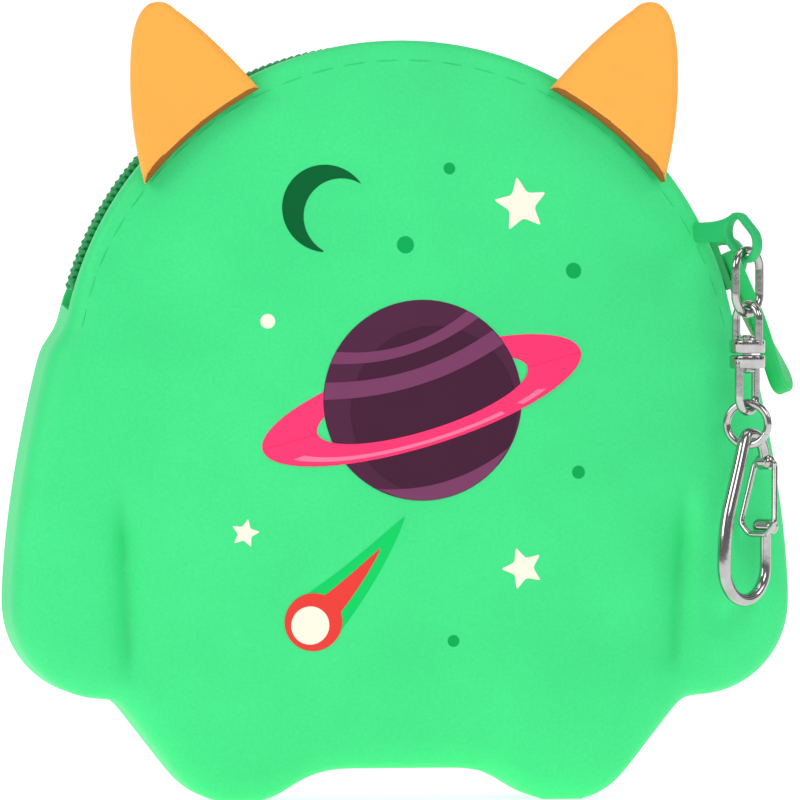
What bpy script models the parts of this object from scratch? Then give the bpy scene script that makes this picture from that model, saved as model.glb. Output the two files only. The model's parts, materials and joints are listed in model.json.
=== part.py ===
"""A zipped silicone coin purse with a key chain, modelled piece by piece in metres, +Z up.

The purse stands on its two foot lobes at z = 0 and faces -Y. A zip runs round the domed top.
"""

import math

import bmesh
import bpy
from mathutils import Matrix, Vector

MM = 0.001

# Outline of the purse, right half
DOME_RADIUS = 52.0 * MM
DOME_CENTRE_Z = 63.4 * MM
DOME_END_ANGLE = math.radians(10.2)
DOME_STEPS = 14
SHOULDER_OUT = 1.7 * MM
SHOULDER_RISE = 5.9 * MM
SHOULDER_CONTROL_IN = 0.1 * MM
SHOULDER_CONTROL_RISE = 7.2 * MM
SHOULDER_STEPS = 2
ARM_RADIUS = 14.3 * MM
ARM_SET_IN = 6.5 * MM
ARM_CENTRE_X = DOME_RADIUS - ARM_SET_IN
ARM_CENTRE_Z = 30.0 * MM
ARM_END_ANGLE = math.radians(-98.0)
ARM_STEPS = 7
SIDE_CONTROL_IN = 0.4 * MM
SIDE_CONTROL_Z = 47.0 * MM
SIDE_STEPS = 5
FOOT_RADIUS = 12.2 * MM
FOOT_SOLE_CUT = 0.5 * MM
FOOT_CENTRE_X = 24.8 * MM
FOOT_CENTRE_Z = FOOT_RADIUS - FOOT_SOLE_CUT
FOOT_START_ANGLE = math.radians(-40.0)
FOOT_STEPS = 3
FOOT_INNER_REACH = 6.8 * MM
FOOT_INNER_STEPS = 2
BASE_Z = 4.9 * MM
BASE_HALF_WIDTH = 9.0 * MM
BASE_CONTROL_X = 13.5 * MM
BASE_STEPS = 3

# Place of the purse, so that the origin is under the middle of its whole size
PLACE_X = -0.9 * MM
PLACE_Y = 5.8 * MM

# Depth of the purse
DOME_SIDE_HALF_DEPTH = 7.0 * MM
BODY_SIDE_HALF_DEPTH = 6.0 * MM
BODY_EDGE_SWELL = 3.2 * MM
BODY_EDGE_ROUND = 4.6 * MM
FRONT_DEPTH = 14.0 * MM
BACK_DEPTH = 11.0 * MM
WALL = 2.0 * MM
CREASE_X = 42.8 * MM
CREASE_DEPTH = 2.2 * MM
CREASE_TOP_Z = 52.0 * MM
CREASE_TOP_FADE = 12.0 * MM
CREASE_BOTTOM_Z = 15.0 * MM
CREASE_BOTTOM_FADE = 8.0 * MM
CREASE_HALF_WIDTH = 2.4 * MM
CREASE_EDGE_ROOM = 1.5
CREASE_RING_SLACK = 0.1
CREASE_SIDE_SLACK = 0.9
BELLY_SMOOTHINGS = 8
BELLY_EDGE_POWER = 5
PLAIN_RING_SHARE = 0.78
DOME_RING_SHARES = (0.84, 0.88, 0.915, 0.945)
EDGE_RING_SHARES = (0.0, 0.4, 0.72, 0.93)
FRONT_INNER_RING_SHARES = (0.35, 0.68)
BACK_INNER_RING_SHARES = (0.45, 0.8)
CREASE_UPPER_ANGLE = math.radians(10.0)
CREASE_LOWER_ANGLE = math.radians(-46.0)
CREASE_BLEND_ANGLE = math.radians(5.0)
ANGLE_SLACK = math.radians(0.001)
SWELL_FULL_ANGLE = math.radians(2.0)
SWELL_NONE_ANGLE = math.radians(26.0)

# Mouth of the purse
SLOT_HALF_WIDTH = 4.3 * MM
SLOT_END_ANGLE = math.radians(12.6)
HINGE_DROP = 27.4 * MM
HINGE_Z = DOME_CENTRE_Z + DOME_RADIUS - HINGE_DROP
CUT_GAP = 0.3 * MM
CLEARANCE = 0.3 * MM
CUT_OVERRUN = 30.0 * MM
WELD_DISTANCE = 0.001 * MM
SMOOTH_ANGLE = math.radians(40.0)

# Zip
TAPE_THICKNESS = 0.5 * MM
TAPE_INNER_Y = 1.0 * MM
TAPE_LEG_Y = 4.7 * MM
TAPE_LEG_LENGTH = 4.4 * MM
TAPE_START_ANGLE = math.radians(13.4)
TAPE_END_ANGLE = math.radians(166.4)
TAPE_STEPS = 30
TEETH = 72
COIL_START_ANGLE = math.radians(18.4)
COIL_END_ANGLE = math.radians(161.6)
COIL_HEIGHT = 1.9 * MM
COIL_OUTER_Y = 2.1 * MM
COIL_ROOT_Y = 1.1 * MM
TOOTH_REACH = 0.55 * MM
TOOTH_WIDTH_SHARE = 0.3
STOP_ANGLE = math.radians(14.4)
BOTTOM_STOP_ANGLE = math.radians(163.4)
STOP_LENGTH = 1.3 * MM
STOP_BEVEL = 0.2 * MM
FRONT_TOOTH_PHASE = 0.25
REAR_TOOTH_PHASE = 0.75

# Slider, closed at the right of the dome
SLIDER_ANGLE = math.radians(20.0)
SLIDER_LENGTH = 8.4 * MM
SLIDER_OUTER_HALF_WIDTH = 3.8 * MM
SLIDER_INNER_HALF_WIDTH = 3.3 * MM
SLIDER_PLATE = 1.0 * MM
SLIDER_FLANGE_Y = 2.5 * MM
SLIDER_FLANGE = 0.6 * MM
WEDGE_HALF_WIDTH = 0.7 * MM
WEDGE_LENGTH = 2.0 * MM
WEDGE_FROM_END = 0.5 * MM
BRIDGE_WIRE_RADIUS = 0.7 * MM
BRIDGE_HALF_SPAN = 3.0 * MM
BRIDGE_WINDOW = 3.0 * MM
BRIDGE_STEPS = 13
BRIDGE_FULLNESS = 0.6

# Pull strap
STRAP_LENGTH = 22.4 * MM
STRAP_ANGLE = math.radians(23.5)
STRAP_HALF_WIDTH = 3.2 * MM
STRAP_THICKNESS = 2.2 * MM
STRAP_WEB = 2.0 * MM
STRAP_EYE_HALF_WIDTH = 1.7 * MM
STRAP_EYE_LENGTH = 6.6 * MM
STRAP_TWIST = math.radians(20.0)
STRAP_SLICES = 8
STRAP_END_STEPS = 9
STRAP_EYE_STEPS = 7

# Horn plates on the front rim
HORN_LAP = 2.0 * MM
HORN_BASE_RADIUS = DOME_RADIUS - HORN_LAP
HORN_BASE_UPPER_ANGLE = math.radians(63.4)
HORN_BASE_LOWER_ANGLE = math.radians(37.4)
HORN_BASE_STEPS = 7
HORN_THICKNESS = 2.6 * MM
HORN_BEVEL = 0.7 * MM
HORN_BEVEL_ANGLE = math.radians(60.0)
HORN_TIP_IN = 2.12 * MM
HORN_TIP_RISE = 27.4 * MM
HORN_TIP_ROUND = 2.6 * MM
HORN_OUTER_OUT = 2.18 * MM
HORN_OUTER_RISE = 16.73 * MM
HORN_SIDE_OUT = 2.28 * MM
HORN_INNER_OUT = 7.3 * MM
HORN_INNER_RISE = 8.3 * MM
HORN_SIDE_STEPS = 4
HORN_RISE_STEPS = 5
HORN_TIP_STEPS = 2
HORN_INNER_STEPS = 6

# Key tab moulded on the front rim
TAB_DROP = 3.4 * MM
TAB_EYE_Z = HINGE_Z - TAB_DROP
TAB_RISE = TAB_EYE_Z - DOME_CENTRE_Z
TAB_ROOT_LAP = 2.36 * MM
TAB_ROOT_SINK = 0.5 * MM
TAB_OUT = 6.0 * MM
TAB_FORWARD = 11.3 * MM
TAB_ROOT_X = math.sqrt(DOME_RADIUS**2 - TAB_RISE**2) - TAB_ROOT_LAP
TAB_ROOT_Y = TAB_ROOT_SINK - DOME_SIDE_HALF_DEPTH
TAB_EYE_X = TAB_ROOT_X + TAB_OUT
TAB_EYE_Y = TAB_ROOT_Y - TAB_FORWARD
TAB_SLOPE_RISE = 1.6 * MM
TAB_HALF_HEIGHT = 1.5 * MM
TAB_SLOT = 3.0 * MM
TAB_STEPS = 16
TAB_EYE_OUTER = 3.2 * MM
TAB_EYE_RADIUS = 1.9 * MM
TAB_THICKNESS = 1.8 * MM

# Chain
LINK_WIDTH = 7.0 * MM
LINK_HEIGHT = 10.9 * MM
LINK_WIRE_RADIUS = 0.65 * MM
LINK_TURN = math.radians(40.0)
LOOP_WIDTH = 5.6 * MM
LOOP_WIRE_RADIUS = 0.6 * MM
UPPER_LOOP_TURN = math.radians(-50.0)
LOWER_LOOP_TURN = math.radians(45.0)
CHAIN_STEP = 0.15 * MM
COLLAR_RADIUS = 2.7 * MM
COLLAR_HEIGHT = 2.0 * MM
COLLAR_SIDES = 16
BORE_SIDES = 12
UPPER_LOOP_HEIGHT = 8.0 * MM
LOWER_LOOP_HEIGHT = 9.2 * MM
RIVET_RADIUS = 0.65 * MM
RIVET_HEAD_RADIUS = 1.2 * MM
RIVET_HEAD = 0.5 * MM
RING_RADIUS = 3.2 * MM
RING_WIRE_RADIUS = 0.6 * MM
RING_TURN = math.radians(-25.0)
CLASP_WIDTH = 12.3 * MM
CLASP_HEIGHT = 27.2 * MM
CLASP_WIRE_RADIUS = 1.0 * MM
CLASP_TURN = math.radians(42.0)
CLASP_SET_SHARE = 0.117
CLASP_NOSE_SHARE = 0.437
CLASP_BOSS_RADIUS = 1.25 * MM
CLASP_BOSS_HALF_LENGTH = 1.1 * MM
NOSE_HEAD_HALF_LENGTH = 1.6 * MM
CLASP_PIVOT_SHARES = (0.854, 0.175)
CLASP_TOP_SHARES = (0.058, 0.0)
CLASP_NECK_SHARES = (-0.417, 0.107)
CLASP_SPINE_SHARES = (-0.854, 0.4365)
CLASP_CONTROL_SHARES = ((0.777, 0.0), (-0.35, 0.0), (-0.499, 0.236), (-1.117, 0.5845))
CLASP_CURVE_STEPS = 5
CLASP_BOTTOM_STEPS = 13
GATE_WIRE_RADIUS = 0.45 * MM
GATE_DROP = 1.1 * MM
GATE_SPREAD = 0.85 * MM
WIRE_SIDES = 2
BOW_STEPS = 9
RING_STEPS = 24

SILICONE = (72, 233, 140)
SILICONE_DARK = (50, 196, 110)
HORN_ORANGE = (254, 186, 85)
NICKEL = (196, 196, 200)
ZIP_GREEN = (48, 176, 104)


def linear(rgb):
    """Linear colour of an 8-bit display colour."""
    return [(value / 255.0) ** 2.2 for value in rgb]


def make_material(name, rgb, roughness, metallic=0.0):
    """Principled material with one colour."""
    material = bpy.data.materials.new(name)
    material.use_nodes = True
    shader = material.node_tree.nodes["Principled BSDF"]
    shader.inputs["Base Color"].default_value = (*linear(rgb), 1.0)
    shader.inputs["Roughness"].default_value = roughness
    shader.inputs["Metallic"].default_value = metallic
    material.diffuse_color = (*linear(rgb), 1.0)
    return material


def clear_scene():
    """Remove every object of the open scene."""
    for obj in list(bpy.data.objects):
        bpy.data.objects.remove(obj, do_unlink=True)


def new_collection(name):
    """Collection linked to the scene."""
    collection = bpy.data.collections.new(name)
    bpy.context.scene.collection.children.link(collection)
    return collection


def add_object(name, data, collection, material=None):
    """Object of this data in the collection."""
    obj = bpy.data.objects.new(name, data)
    collection.objects.link(obj)
    if material is not None:
        data.materials.append(material)
    return obj


def add_bmesh(name, bm, collection, material=None, smooth=True):
    """Object of a bmesh, which is freed."""
    mesh = bpy.data.meshes.new(name)
    bm.to_mesh(mesh)
    bm.free()
    obj = add_object(name, mesh, collection, material)
    if smooth:
        mesh.shade_smooth()
        mesh.set_sharp_from_angle(angle=SMOOTH_ANGLE)
    return obj


def hide_cutter(obj):
    """Keep a cutter out of the model."""
    obj.hide_render = True
    obj.display_type = "WIRE"
    return obj


def boolean(obj, other, operation):
    """Boolean modifier with the exact solver."""
    modifier = obj.modifiers.new(f"{operation.title()} {other.name}", "BOOLEAN")
    modifier.operation = operation
    modifier.solver = "EXACT"
    modifier.object = other
    return modifier


def arc_points(centre, radius, start, end, count):
    """Points on an arc from start, without its end, as (x, z)."""
    angles = [start + (end - start) * i / count for i in range(count)]
    return [(centre[0] + radius * math.cos(a), centre[1] + radius * math.sin(a)) for a in angles]


def curve_points(start, control, end, count):
    """Points on a quadratic curve from start, without its end."""
    points = []
    for i in range(count):
        t = i / count
        weights = ((1 - t) ** 2, 2 * t * (1 - t), t * t)
        points.append(tuple(sum(w * p[k] for w, p in zip(weights, (start, control, end))) for k in (0, 1)))
    return points


def smooth_step(value):
    """Smooth ramp from 0 to 1."""
    value = min(max(value, 0.0), 1.0)
    return value * value * (3.0 - 2.0 * value)


def right_outline():
    """Outline of the right half from the top of the dome to the middle of the base, as (x, z)."""
    dome = (0.0, DOME_CENTRE_Z)
    arm = (ARM_CENTRE_X, ARM_CENTRE_Z)
    foot = (FOOT_CENTRE_X, FOOT_CENTRE_Z)
    dome_end = arc_points(dome, DOME_RADIUS, DOME_END_ANGLE, DOME_END_ANGLE, 1)[0]
    shoulder = (DOME_RADIUS + SHOULDER_OUT, DOME_CENTRE_Z + SHOULDER_RISE)
    shoulder_control = (DOME_RADIUS - SHOULDER_CONTROL_IN, DOME_CENTRE_Z + SHOULDER_CONTROL_RISE)
    arm_side = (ARM_CENTRE_X + ARM_RADIUS, ARM_CENTRE_Z)
    side_control = (arm_side[0] - SIDE_CONTROL_IN, SIDE_CONTROL_Z)
    arm_end = (
        ARM_CENTRE_X + ARM_RADIUS * math.cos(ARM_END_ANGLE),
        ARM_CENTRE_Z + ARM_RADIUS * math.sin(ARM_END_ANGLE),
    )
    sole_angle = math.asin(-FOOT_CENTRE_Z / FOOT_RADIUS)
    inner_angle = -math.pi + math.acos(FOOT_INNER_REACH / FOOT_RADIUS)
    inner_end = (
        FOOT_CENTRE_X + FOOT_RADIUS * math.cos(inner_angle),
        FOOT_CENTRE_Z + FOOT_RADIUS * math.sin(inner_angle),
    )
    base = (BASE_HALF_WIDTH, BASE_Z)
    points = arc_points(dome, DOME_RADIUS, math.pi / 2, SLOT_END_ANGLE, DOME_STEPS)
    points += arc_points(dome, DOME_RADIUS, SLOT_END_ANGLE, DOME_END_ANGLE, 1)
    points += curve_points(dome_end, shoulder_control, shoulder, SHOULDER_STEPS)
    points += curve_points(shoulder, side_control, arm_side, SIDE_STEPS)
    points += arc_points(arm, ARM_RADIUS, 0.0, ARM_END_ANGLE, ARM_STEPS)
    points += [arm_end]
    points += arc_points(foot, FOOT_RADIUS, FOOT_START_ANGLE, sole_angle, FOOT_STEPS)
    points += arc_points(foot, FOOT_RADIUS, sole_angle, -math.pi - sole_angle, 1)
    points += arc_points(foot, FOOT_RADIUS, -math.pi - sole_angle, inner_angle, FOOT_INNER_STEPS)
    points += curve_points(inner_end, (BASE_CONTROL_X, BASE_Z), base, BASE_STEPS)
    points += [base, (0.0, BASE_Z)]
    return points


def full_outline():
    """Closed outline, clockwise seen from the front, from the top of the dome."""
    right = right_outline()
    left = [(-x, z) for x, z in reversed(right[1:-1])]
    return right + left


def point_outwards(bm):
    """Turn the faces of an open skin away from the dome's centre."""
    bmesh.ops.recalc_face_normals(bm, faces=bm.faces)
    centre = Vector((0.0, 0.0, DOME_CENTRE_Z))
    if sum(face.normal.dot(face.calc_center_median() - centre) for face in bm.faces) < 0:
        bmesh.ops.reverse_faces(bm, faces=bm.faces)


class Station:
    """One direction of the loft, from the dome's centre to a point of the outline."""

    def __init__(self, x, z):
        self.x = x
        self.z = z
        self.reach = math.hypot(x, z - DOME_CENTRE_Z)
        self.soft_reach = self.reach
        self.angle = math.atan2(z - DOME_CENTRE_Z, abs(x))
        low = smooth_step((SWELL_NONE_ANGLE - self.angle) / (SWELL_NONE_ANGLE - SWELL_FULL_ANGLE))
        self.low = low
        self.side = DOME_SIDE_HALF_DEPTH + (BODY_SIDE_HALF_DEPTH - DOME_SIDE_HALF_DEPTH) * low
        self.swell = BODY_EDGE_SWELL * low
        self.round_share = 1.0 - BODY_EDGE_ROUND / self.reach
        self.crease_share = self.crease_place()

    def crease_place(self):
        """Share of the reach at which the ring of the arm crease lies."""
        upper = smooth_step((CREASE_UPPER_ANGLE + CREASE_BLEND_ANGLE - self.angle) / CREASE_BLEND_ANGLE)
        lower = smooth_step((self.angle - CREASE_LOWER_ANGLE + CREASE_BLEND_ANGLE) / CREASE_BLEND_ANGLE)
        weight = upper * lower
        crease_reach = CREASE_X / max(abs(self.x), CREASE_X)
        limit = self.round_share - CREASE_EDGE_ROOM * CREASE_HALF_WIDTH / self.reach
        share = PLAIN_RING_SHARE + (crease_reach - PLAIN_RING_SHARE) * weight
        return min(share, limit)

    def edge_shares(self):
        """Ring shares towards the rim: round it low on the purse, and stop a wall short of it on the dome."""
        rim = 1.0 - self.round_share
        rounded = [self.round_share + rim * share for share in EDGE_RING_SHARES]
        return [a + (b - a) * self.low for a, b in zip(DOME_RING_SHARES, rounded)]

    def front_shares(self):
        """Ring shares of the front, from near the centre to the rim."""
        crease = self.crease_share
        half = CREASE_HALF_WIDTH / self.reach
        inner = [crease * share for share in FRONT_INNER_RING_SHARES]
        return inner + [crease - half, crease, crease + half] + self.edge_shares()

    def back_shares(self):
        """Ring shares of the back, from near the centre to the rim."""
        first = self.edge_shares()[0]
        return [first * share for share in BACK_INNER_RING_SHARES] + self.edge_shares()

    def depth(self, share, middle_depth):
        """Half depth at a ring share, for a side this deep in the middle."""
        edge = max(share - self.round_share, 0.0) / (1.0 - self.round_share)
        swell = self.swell * math.sqrt(max(1.0 - edge * edge, 0.0))
        belly = middle_depth - self.side - self.swell
        reach = self.soft_reach + (self.reach - self.soft_reach) * share**BELLY_EDGE_POWER
        bulge = max(1.0 - (share * self.reach / reach) ** 2, 0.0)
        return self.side + swell + belly * bulge

    def crease_depth(self, share):
        """Depth of the crease between arm and belly at a ring share."""
        if abs(share - self.crease_share) > CREASE_RING_SLACK * CREASE_HALF_WIDTH / self.reach:
            return 0.0
        z = self.place(share)[1]
        if abs(self.x) * share < CREASE_SIDE_SLACK * CREASE_X or z > CREASE_TOP_Z:
            return 0.0
        top = smooth_step((CREASE_TOP_Z - z) / CREASE_TOP_FADE)
        bottom = smooth_step((z - CREASE_BOTTOM_Z) / CREASE_BOTTOM_FADE)
        return CREASE_DEPTH * top * bottom

    def place(self, share):
        """Point (x, z) at a ring share."""
        return (self.x * share, DOME_CENTRE_Z + (self.z - DOME_CENTRE_Z) * share)


def make_stations():
    """Stations of the loft round the outline, with their reach smoothed for the belly."""
    stations = [Station(x, z) for x, z in full_outline()]
    for _ in range(BELLY_SMOOTHINGS):
        soft = [station.soft_reach for station in stations]
        for i, station in enumerate(stations):
            station.soft_reach = (soft[i - 1] + 2 * soft[i] + soft[(i + 1) % len(soft)]) / 4
    return stations


def front_depth_at(x, z):
    """Half depth of the front skin over a point of the dome."""
    share = math.hypot(x, z - DOME_CENTRE_Z) / DOME_RADIUS
    return DOME_SIDE_HALF_DEPTH + (FRONT_DEPTH - DOME_SIDE_HALF_DEPTH) * (1.0 - share * share)


def build_shell_mesh(name, collection, material):
    """Outer skin of the purse as an open loft with its zip slot, given a wall."""
    stations = make_stations()
    bm = bmesh.new()

    def ring(side, index, middle_depth, creased):
        verts = []
        for station in stations:
            share = (station.front_shares() if side < 0 else station.back_shares())[index]
            x, z = station.place(share)
            depth = station.depth(share, middle_depth)
            if creased:
                depth -= station.crease_depth(share)
            verts.append(bm.verts.new((x, side * depth, z)))
        return verts

    def side_ring(side, at_slot):
        places = [(s.x, side * (SLOT_HALF_WIDTH if at_slot else s.side), s.z) for s in stations]
        return [bm.verts.new(place) for place in places]

    rings = [ring(-1, i, FRONT_DEPTH, True) for i in range(len(stations[0].front_shares()))]
    slot_ring = len(rings) + 1
    rings += [side_ring(-1, False), side_ring(-1, True), side_ring(1, True), side_ring(1, False)]
    rings += [ring(1, i, BACK_DEPTH, False) for i in reversed(range(len(stations[0].back_shares())))]
    count = len(stations)
    for r, (inner, outer) in enumerate(zip(rings, rings[1:])):
        for i in range(count):
            j = (i + 1) % count
            in_slot = min(stations[i].angle, stations[j].angle) > SLOT_END_ANGLE - ANGLE_SLACK
            if r == slot_ring and in_slot:
                continue
            bm.faces.new((inner[i], inner[j], outer[j], outer[i]))
    for side, last, depth in ((-1, rings[0], FRONT_DEPTH), (1, rings[-1], BACK_DEPTH)):
        pole = bm.verts.new((0.0, side * depth, DOME_CENTRE_Z))
        for i in range(count):
            bm.faces.new((pole, last[i], last[(i + 1) % count]))
    point_outwards(bm)
    shell = add_bmesh(name, bm, collection, material)
    wall = shell.modifiers.new("Wall", "SOLIDIFY")
    wall.thickness = WALL
    wall.offset = -1.0
    wall.use_even_offset = True
    return shell


def box_object(name, low, high, collection, material=None):
    """Box between two corners."""
    bm = bmesh.new()
    bmesh.ops.create_cube(bm, size=1.0)
    centre = [(a + b) / 2 for a, b in zip(low, high)]
    size = [b - a for a, b in zip(low, high)]
    bmesh.ops.scale(bm, vec=size, verts=bm.verts)
    bmesh.ops.translate(bm, vec=centre, verts=bm.verts)
    return add_bmesh(name, bm, collection, material, smooth=False)


def curve_data(name, splines, bevel=0.0, extrude=0.0, cyclic=True, fill=False):
    """Poly curve through lists of points."""
    data = bpy.data.curves.new(name, "CURVE")
    data.dimensions = "2D" if fill else "3D"
    data.fill_mode = "BOTH" if fill else "FULL"
    data.bevel_depth = bevel
    data.bevel_resolution = WIRE_SIDES
    data.extrude = extrude
    data.use_fill_caps = not fill
    for points in splines:
        spline = data.splines.new("POLY")
        spline.points.add(len(points) - 1)
        for target, point in zip(spline.points, points):
            target.co = (*point, 1.0) if len(point) == 3 else (*point, 0.0, 1.0)
        spline.use_cyclic_u = cyclic
    return data


def meshed(obj):
    """Mesh object in place of a curve object, with its caps welded."""
    bpy.context.view_layer.update()
    graph = bpy.context.evaluated_depsgraph_get()
    mesh = bpy.data.meshes.new_from_object(obj.evaluated_get(graph))
    bm = bmesh.new()
    bm.from_mesh(mesh)
    bmesh.ops.remove_doubles(bm, verts=bm.verts, dist=WELD_DISTANCE)
    bmesh.ops.recalc_face_normals(bm, faces=bm.faces)
    bm.to_mesh(mesh)
    bm.free()
    name = obj.name
    matrix = obj.matrix_world.copy()
    collection = obj.users_collection[0]
    bpy.data.objects.remove(obj, do_unlink=True)
    made = bpy.data.objects.new(name, mesh)
    made.matrix_world = matrix
    collection.objects.link(made)
    return made


def placed(obj, matrix):
    """Object with its mesh or curve moved by a matrix, its origin kept at the world's."""
    obj.data.transform(matrix)
    return obj


def set_origin(obj, point):
    """Move an object's origin without moving its shape."""
    offset = Vector(point)
    obj.data.transform(Matrix.Translation(-offset))
    obj.location = offset


def empty_at(name, point, collection, parent=None):
    """Empty that stands for a joint."""
    empty = add_object(name, None, collection)
    empty.location = Vector(point)
    if parent is not None:
        hang(empty, parent)
    return empty


def hang(obj, parent):
    """Parent an object and leave it where it is."""
    bpy.context.view_layer.update()
    obj.parent = parent
    obj.matrix_parent_inverse = parent.matrix_world.inverted()


def make_body(collection, cutters, material):
    """Body shell with its key tab, and the front panel above the hinge line."""
    shell = build_shell_mesh("body_shell", collection, material)
    panel = shell.copy()
    panel.data = shell.data.copy()
    panel.name = "front_panel"
    collection.objects.link(panel)
    reach = DOME_RADIUS + CUT_OVERRUN
    low = (-reach, -CUT_OVERRUN, HINGE_Z - CUT_GAP / 2)
    high = (reach, 0.0, DOME_CENTRE_Z + reach)
    mouth_cut = hide_cutter(box_object("mouth_cut", low, high, cutters))
    panel_low = (low[0], low[1], HINGE_Z + CUT_GAP / 2)
    panel_keep = hide_cutter(box_object("panel_keep", panel_low, high, cutters))
    boolean(shell, mouth_cut, "DIFFERENCE")
    boolean(panel, panel_keep, "INTERSECT")
    tab = hide_cutter(make_key_tab(cutters))
    boolean(shell, tab, "UNION")
    return shell, panel


def make_key_tab(collection):
    """Tab with an eye, standing out forwards and outwards from the rim."""
    run = Vector((TAB_EYE_X - TAB_ROOT_X, TAB_EYE_Y - TAB_ROOT_Y, -TAB_SLOPE_RISE))
    length = run.length
    quarter = math.pi / 2
    neck = math.asin(TAB_HALF_HEIGHT / TAB_EYE_OUTER)
    back = (length - TAB_SLOT, 0.0)
    lower = whole_arc(back, TAB_EYE_OUTER, neck - math.pi, -quarter, TAB_STEPS // 2)
    head = whole_arc((length, 0.0), TAB_EYE_OUTER, -quarter, quarter, TAB_STEPS)
    upper = whole_arc(back, TAB_EYE_OUTER, quarter, math.pi - neck, TAB_STEPS // 2)
    outline = [(0.0, TAB_HALF_HEIGHT), (0.0, -TAB_HALF_HEIGHT)] + lower + head + upper
    hole = stadium(back[0], length, TAB_EYE_RADIUS, TAB_STEPS)
    data = curve_data("key_tab", [outline, hole], extrude=TAB_THICKNESS / 2, fill=True)
    tab = meshed(add_object("key_tab", data, collection))
    dip = math.asin(TAB_SLOPE_RISE / length)
    turn = Matrix.Rotation(math.atan2(run.y, run.x), 4, "Z") @ Matrix.Rotation(dip, 4, "Y")
    stand = turn @ Matrix.Rotation(quarter, 4, "X")
    return placed(tab, Matrix.Translation((TAB_ROOT_X, TAB_ROOT_Y, TAB_EYE_Z + TAB_SLOPE_RISE)) @ stand)


def spread(start, end, count):
    """Evenly spaced values from start to end, with both."""
    return [start + (end - start) * i / (count - 1) for i in range(count)]


def whole_arc(centre, radius, start, end, count):
    """Points on an arc with both its ends."""
    return [
        (centre[0] + radius * math.cos(a), centre[1] + radius * math.sin(a))
        for a in spread(start, end, count)
    ]


def horn_outline():
    """Outline of the right horn plate, from the upper end of its curved base."""
    dome = (0.0, DOME_CENTRE_Z)
    ends = (HORN_BASE_UPPER_ANGLE, HORN_BASE_LOWER_ANGLE)
    base = whole_arc(dome, HORN_BASE_RADIUS, *ends, HORN_BASE_STEPS + 1)
    root = base[0]
    corner = base.pop()
    outer = (corner[0] + HORN_OUTER_OUT, corner[1] + HORN_OUTER_RISE)
    side = (corner[0] + HORN_SIDE_OUT, (corner[1] + outer[1]) / 2)
    tip = (corner[0] - HORN_TIP_IN, corner[1] + HORN_TIP_RISE)
    inner_tip = (tip[0] - HORN_TIP_ROUND, tip[1] - HORN_TIP_ROUND / 2)
    inner = (root[0] + HORN_INNER_OUT, root[1] + HORN_INNER_RISE)
    outline = base + curve_points(corner, side, outer, HORN_SIDE_STEPS)
    outline += curve_points(outer, (outer[0], tip[1]), tip, HORN_RISE_STEPS)
    outline += curve_points(tip, ((tip[0] + inner_tip[0]) / 2, tip[1]), inner_tip, HORN_TIP_STEPS)
    outline += curve_points(inner_tip, inner, root, HORN_INNER_STEPS)
    return outline


def make_horn(name, side, collection, material):
    """Horn plate that laps the front rim, with a bevelled edge."""
    points = [(side * x, z) for x, z in horn_outline()]
    data = curve_data(name, [points], extrude=HORN_THICKNESS / 2, fill=True)
    horn = meshed(add_object(name, data, collection))
    seat = front_depth_at(HORN_BASE_RADIUS, DOME_CENTRE_Z) + CLEARANCE
    middle = -(seat + HORN_THICKNESS / 2)
    placed(horn, Matrix.Translation((0.0, middle, 0.0)) @ Matrix.Rotation(math.pi / 2, 4, "X"))
    horn.data.materials.append(material)
    bevel = horn.modifiers.new("Edge", "BEVEL")
    bevel.width = HORN_BEVEL
    bevel.segments = 2
    bevel.limit_method = "ANGLE"
    bevel.angle_limit = HORN_BEVEL_ANGLE
    return horn


def make_tape(name, side, collection, material):
    """Zip tape with a flat top and a leg down the inside of the wall, turned about the dome's centre."""
    top = DOME_RADIUS - WALL - CLEARANCE - TAPE_THICKNESS / 2
    bend = TAPE_THICKNESS
    profile = [
        (TAPE_INNER_Y, top),
        (TAPE_LEG_Y - bend, top),
        (TAPE_LEG_Y, top - bend),
        (TAPE_LEG_Y, top - TAPE_LEG_LENGTH),
    ]
    bm = bmesh.new()
    along = (math.cos(TAPE_START_ANGLE), math.sin(TAPE_START_ANGLE))
    verts = [bm.verts.new((r * along[0], side * y, r * along[1])) for y, r in profile]
    for a, b in zip(verts, verts[1:]):
        bm.edges.new((a, b))
    tape = add_bmesh(name, bm, collection, material, smooth=False)
    tape.location = (0.0, 0.0, DOME_CENTRE_Z)
    turn = tape.modifiers.new("Turn", "SCREW")
    turn.axis = "Y"
    turn.angle = -(TAPE_END_ANGLE - TAPE_START_ANGLE)
    turn.steps = TAPE_STEPS
    turn.render_steps = TAPE_STEPS
    turn.use_merge_vertices = False
    cloth = tape.modifiers.new("Cloth", "SOLIDIFY")
    cloth.thickness = TAPE_THICKNESS
    cloth.offset = 0.0
    cloth.use_even_offset = True
    return tape


def polar(radius, angle, y):
    """Point round the dome's centre."""
    return (radius * math.cos(angle), y, DOME_CENTRE_Z + radius * math.sin(angle))


def coil_bottom():
    """Radius of the underside of the coil rows, just over the tape."""
    return DOME_RADIUS - WALL + CLEARANCE / 2


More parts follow.
